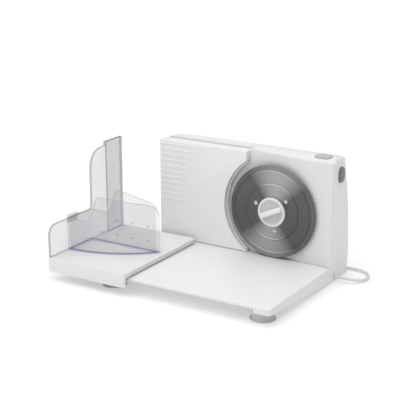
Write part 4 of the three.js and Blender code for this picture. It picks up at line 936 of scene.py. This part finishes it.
def plugSurface(s):
    # loops along the cord: a ribbed neck that swells from the cord's round section, a quarter-round shoulder
    # up to the plug's rounded body, a waist and a rolled end
    (halfA, halfB), neckEnd, bodyCorner = s["half"], s["neckEnd"], s["corner"]
    bodyFrom = s["start"] + s["neck"]
    bodyTo = bodyFrom + s["length"]
    levels = []
    for t in np.linspace(0, 1, 25):
        rib = s["ribDepth"] * (1 - math.cos(tau * s["ribs"] * t))
        radius = s["neckRoot"] + (neckEnd - s["neckRoot"]) * t - rib
        levels.append((s["start"] + s["neck"] * t, radius, radius, radius))
    for q in np.linspace(0.1, 1, 9) * quarterTurn:
        x = bodyFrom + s["shoulder"] * (1 - math.cos(q))
        levels.append((x, *[neckEnd + (end - neckEnd) * math.sin(q) for end in (halfA, halfB, bodyCorner)]))
    levels += [(bodyFrom + x, *s["waistHalf"], bodyCorner) for x in s["waist"]]
    levels += [(bodyTo - x, halfA, halfB, bodyCorner) for x in (s["waistFade"], s["endRoll"])]
    for q in np.linspace(0.3, quarterTurn, 5):
        inset = s["endRoll"] * (1 - math.cos(q))
        x = bodyTo - s["endRoll"] * (1 - math.sin(q))
        levels.append((x, halfA - inset, halfB - inset, s["endCorner"]))
    loops = []
    for x, a, b, radius in levels:
        flat = roundedLoop(a, b, min(radius, a, b), s["points"])
        loops.append(lifted(flat + (s["y"], s["z"]), x, "hab"))
    return np.array(loops)


plug = addPiece(
    "plug_shell", [skin(plugSurface(plugSettings))], "machine", cordVinyl, ["plug_body"],
)
for side, node in ((1, "plug_pin_left"), (-1, "plug_pin_right")):
    pinY = plugSettings["y"] + side * plugSettings["pins"] / 2
    loops = lathe(pinProfile, (0, pinY, plugSettings["z"]), "x", plugSettings["pinSteps"])
    addPiece(
        node + "_metal", [skin(loops, caps=False)], "machine", plugBrass, [node],
    )

# tie round the coil
tieSettings = {
    "at": cordSettings["coilAt"], "near": 18.9, "far": 38.2, "low": -30.2, "high": -18.2,
    "width": 8.0, "gap": 0.1, "thick": 0.8, "corner": 2.2, "points": 96,
}


def tieSurface(s):
    # a flat strap carried round a rounded rectangle in the upright plane
    halfA, halfB = (s["far"] - s["near"]) / 2, (s["high"] - s["low"]) / 2
    centre = (s["at"][0] - (s["far"] + s["near"]) / 2, (s["low"] + s["high"]) / 2)
    inside, outside = s["gap"], s["thick"] - s["gap"]
    loops = []
    for grow, y in ((inside, -0.5), (inside, 0.5), (outside, 0.5), (outside, -0.5)):
        flat = roundedLoop(halfA + grow, halfB + grow, s["corner"] + grow, s["points"])
        loops.append(lifted(flat + centre, s["at"][1] + y * s["width"], "ahb"))
    return np.array(loops)


tie = addPiece(
    "tie_strap", [skin(tieSurface(tieSettings), ring=True)],
    "machine", moulded["black plastic"], ["cord_tie"],
)
print("cord ends ready")

# clear carriage wall
wallSettings = {
    "at": (-85.0, -10.5, 0.0), "thick": 4.0, "roll": 0.5, "fade": 1.3,
    "strip": 6.5, "stripBottom": 10.3, "stripGap": 0.02,
    "front": 4.0, "back": 223.0, "bottom": 8.8, "low": 68.0, "tall": 178.0, "tab": 186.0, "tabFront": 173.0,
    "rise": 128.0, "tallRound": 40.0, "innerRound": 8.0, "frontRound": 22.0,
}


def sheet(outline, low, high, order, roll, fade):
    # an outline between two planes: its loops are pulled in by the mitre of the neighbouring edges, so the
    # edge rolls over by roll and the rim value fades from one at the edge to nothing at fade
    outline = np.asarray(outline, float)
    ahead = np.roll(outline, -1, 0) - outline
    ahead /= np.linalg.norm(ahead, axis=1)[:, None]
    normal = np.stack([ahead[:, 1], -ahead[:, 0]], 1)
    before = np.roll(normal, 1, 0)
    mitre = (normal + before) / (1 + (normal * before).sum(1))[:, None]
    quarter = roll * (1 - math.sqrt(0.5))
    levels = [
        (fade, low, 0), (roll, low, 1), (quarter, low + quarter, 1), (0, low + roll, 1),
        (0, high - roll, 1), (quarter, high - quarter, 1), (roll, high, 1), (fade, high, 0),
    ]
    loops, rim = [], []
    for inset, height, value in levels:
        flat = outline - mitre * inset
        loops.append(lifted(flat, height, order))
        rim.append(np.full(len(flat), value, float))
    return np.array(loops), np.concatenate(rim)


def wallOutline(s):
    # side view: bottom, back edge, tab, tall top, tall round, inner round, low top and front round
    rise, low, tall, front, back = s["rise"], s["low"], s["tall"], s["front"], s["back"]
    tallEnd, innerEnd, frontEnd = rise + s["tallRound"], low + s["innerRound"], front + s["frontRound"]
    return np.concatenate([
        [(front, s["bottom"]), (back, s["bottom"]), (back, s["tab"]), (s["tabFront"], s["tab"])],
        [(s["tabFront"], tall), (tallEnd, tall)],
        bend((tallEnd, tall), (rise, tall), (rise, tall - s["tallRound"]), 24),
        [(rise, innerEnd)],
        bend((rise, innerEnd), (rise, low), (rise - s["innerRound"], low), 12),
        [(frontEnd, low)],
        bend((frontEnd, low), (front, low), (front, low - s["frontRound"]), 18),
    ])


def wallPatches(s):
    main, mainRim = sheet(wallOutline(s), 0, s["thick"], "hab", s["roll"], s["fade"])
    front, back, bottom, top = s["tabFront"], s["back"], s["stripBottom"], s["tab"]
    stripOutline = [(front, bottom), (back, bottom), (back, top), (front, top)]
    stripFrom = s["thick"] + s["stripGap"]
    strip, stripRim = sheet(stripOutline, stripFrom, s["strip"], "hab", s["roll"], s["fade"])
    return [(*skin(main + s["at"]), mainRim), (*skin(strip + s["at"]), stripRim)]


addPiece(
    "clear_wall", wallPatches(wallSettings), "carriage", clearWall, ["carriage_wall"],
    sharp=30,
)
print("carriage wall ready")

# clear food pusher: a wall round a plan with one curved side, hooked over the carriage wall
pusherSettings = {
    "at": (-80.5, 43.5, 11.2), "wall": 3.2, "width": 150.0, "sweep": 48.0,
    "low": 58.0, "high": 104.0, "right": 90.0, "round": 28.0, "overshoot": 3,
    "shoulder": 38.0, "shoulderSpread": 1.7,
    "stations": (90, 80, 24),  # along the arc, the far wall and the left wall
    "cornerRim": 1.8, "tipRim": 0.7,
}
hookSettings = {
    "x": -8.0, "front": 8.0, "back": 37.0, "z": 57.1, "drop": 11.0, "thick": 3.0,
    "roll": 0.5, "fade": 1.0, "rim": 0.5,
}
studSettings = {
    "columns": 4, "rows": 2, "tall": 55.0, "first": (0.7, 0.6), "spare": 0.4, "rim": 0.3, "steps": 20,
}
studProfile = [(2, -0.6), (2, 0.2), (1.6, 1.2), (0.8, 3.4), (0.4, 3.95), (0, 4)]
# the pusher wall's section: share of the way in, share of the way up, added height and rim value
pusherSection = [
    (0, 0, 2.4, 0), (0, 1, -1.6, 0), (0, 1, -0.5, 0.6), (0.16, 1, -0.1, 0.6), (0.5, 1, 0, 0.6),
    (0.84, 1, -0.1, 0.6), (1, 1, -0.5, 0.6), (1, 1, -1.6, 0), (1, 0, 2.4, 0), (1, 0, 0.5, 2),
    (0.84, 0, 0.1, 2), (0.5, 0, 0, 2), (0.16, 0, 0.1, 2), (0, 0, 0.5, 2),
]


def eased(count):  # shares from nothing towards one, closer together at both ends
    return 0.5 - 0.5 * np.cos(np.linspace(0, math.pi, count + 1))[:-1, None]


def pusherPlan(s, inset):
    # arc from the left front corner to the tip, straight back along the far wall, then along the left wall
    arc = s["width"] / math.sin(math.radians(s["sweep"]))
    depth = arc * (1 - math.cos(math.radians(s["sweep"]))) + s["wall"]
    radius, far = arc - inset, depth - inset
    first, last = math.asin(inset / radius), math.acos((arc - far) / radius)
    onArc, onFar, onLeft = s["stations"]
    angle = first + (last - first) * eased(onArc)
    curve = np.concatenate([radius * np.sin(angle), arc - radius * np.cos(angle)], 1)
    tip = np.array([radius * math.sin(last), far])
    inner = np.array([inset, far])
    start = np.array([radius * math.sin(first), arc - radius * math.cos(first)])
    farWall, leftWall = tip + (inner - tip) * eased(onFar), inner + (start - inner) * eased(onLeft)
    return np.concatenate([curve, farWall, leftWall])


def pusherTop(s, x):
    # height of the wall's top by distance from the left wall: low part, shoulder, falling top, round end
    shoulder, low, high, over = s["shoulder"], s["low"], s["high"], s["overshoot"]
    end = s["shoulderSpread"] * shoulder
    middle = (shoulder + end) / 2
    t = np.linspace(0, 1, 30)[:, None]
    corners = [(shoulder, low), (middle, low), (middle, high + over), (end, high)]
    a, b, c, d = [np.array(q) for q in corners]
    rise = (1 - t) ** 3 * a + 3 * t * (1 - t) ** 2 * b + 3 * t * t * (1 - t) * c + t ** 3 * d
    right, roundFrom = s["width"] + over, (s["width"] - s["round"], s["right"] + over)
    turn = bend(roundFrom, (right, s["right"]), (right, s["right"] - s["round"]), 40)
    line = np.concatenate([[(-1, low)], rise, [roundFrom], turn])
    return np.interp(x, line[:, 0], line[:, 1])


def pusherWalls(s):
    # at each station of the plan the wall's section is a tall slot with rolled top and bottom
    outer, inner = pusherPlan(s, 0), pusherPlan(s, s["wall"])
    topOuter, topInner = pusherTop(s, outer[:, 0]), pusherTop(s, inner[:, 0])
    across, up, lift, rim = [np.array(q, float) for q in zip(*pusherSection)]
    plan = outer[:, None] * (1 - across[None, :, None]) + inner[:, None] * across[None, :, None]
    top = topOuter[:, None] * (1 - across) + topInner[:, None] * across
    loops = np.concatenate([plan, (up * top + lift)[..., None]], 2)
    edge = np.zeros(len(outer))
    tip = s["stations"][0]
    edge[[0, -1]] = s["cornerRim"]
    edge[[tip - 1, tip, tip + 1]] = s["tipRim"]
    return loops, np.maximum(rim[None, :], edge[:, None]).ravel()


def pusherHook(s, wall):
    # a hook's outline seen from the front, carried from its back end to its front end
    x, z, t = s["x"], s["z"], s["thick"]
    foot = z - s["drop"]
    outline = [(x, foot), (x + t, foot), (x + t, z), (wall, z), (wall, z + t), (x, z + t)]
    hook, rim = sheet(outline, -s["back"], -s["front"], "ahb", s["roll"], s["fade"])
    hook[..., 1] *= -1
    return hook, rim * s["rim"]


def pusherPatches(s):
    walls, wallRim = pusherWalls(s)
    hook, hookRim = pusherHook(hookSettings, s["wall"])
    patches = [(*skin(walls + s["at"], ring=True), wallRim), (*skin(hook + s["at"]), hookRim)]
    far = pusherPlan(s, 0)[:, 1].max()
    columns, rows, (firstX, firstZ) = studSettings["columns"], studSettings["rows"], studSettings["first"]
    for column in range(columns):
        for row in range(rows):
            x = (column + firstX) * s["width"] / (columns + studSettings["spare"])
            z = (row + firstZ) * studSettings["tall"] / rows
            stud = lathe(studProfile, (x, far, z), "y", studSettings["steps"])
            rim = np.full(stud[..., 0].size, studSettings["rim"])
            patches.append((*skin(stud + s["at"]), rim))
    return patches


addPiece(
    "clear_pusher", pusherPatches(pusherSettings), "pusher", clearPusher, ["pusher"],
    sharp=30,
)
print("pusher ready")

# screws that hold the gear well and the front panel
screwSettings = {"spots": ((287.6, 226.6, 144.6), (202.4, 236.6, 59.6), (241.3, 230.3, 5.6)), "steps": 24}
screwProfile = [
    (0, 0.5), (0.9, 0.45), (1.0, 0.1), (1.6, 0.0), (2.3, 0.25), (2.6, 0.7), (2.6, 1.6), (0, 1.6),
]
for number, spot in enumerate(screwSettings["spots"], 1):
    screw = skin(lathe(screwProfile, spot, "y", screwSettings["steps"]), caps=False)
    addPiece(f"panel_screw_{number}", [screw], "machine", screwSteel)
print("screws ready")

# finishes of the solids, by slot
slotFinishes = {
    "white_plastic": whitePlastic,
    "inner_plastic": moulded["plain inner moulding"],
    "grey_plastic": moulded["dark grey button plastic"],
    "grey_rubber": moulded["grey foot rubber"],
    "blade_steel": bladeSteel,
    "bright_steel": brightSteel,
    "gear_plastic": moulded["gear nylon"],
    "clear_plastic": clearWall,
    "motor_paint": moulded["motor paint"],
    "black_plastic": moulded["black plastic"],
    "cord_vinyl": cordVinyl,
    "plug_brass": plugBrass,
}
slotOf = {part["node"]: part["material_slot"] for part in frame["record"]["subparts"]}
for name, node in frame["nodes"].items():
    node.data.materials.clear()
    node.data.materials.append(slotFinishes[slotOf[name]])
print("solids ready")
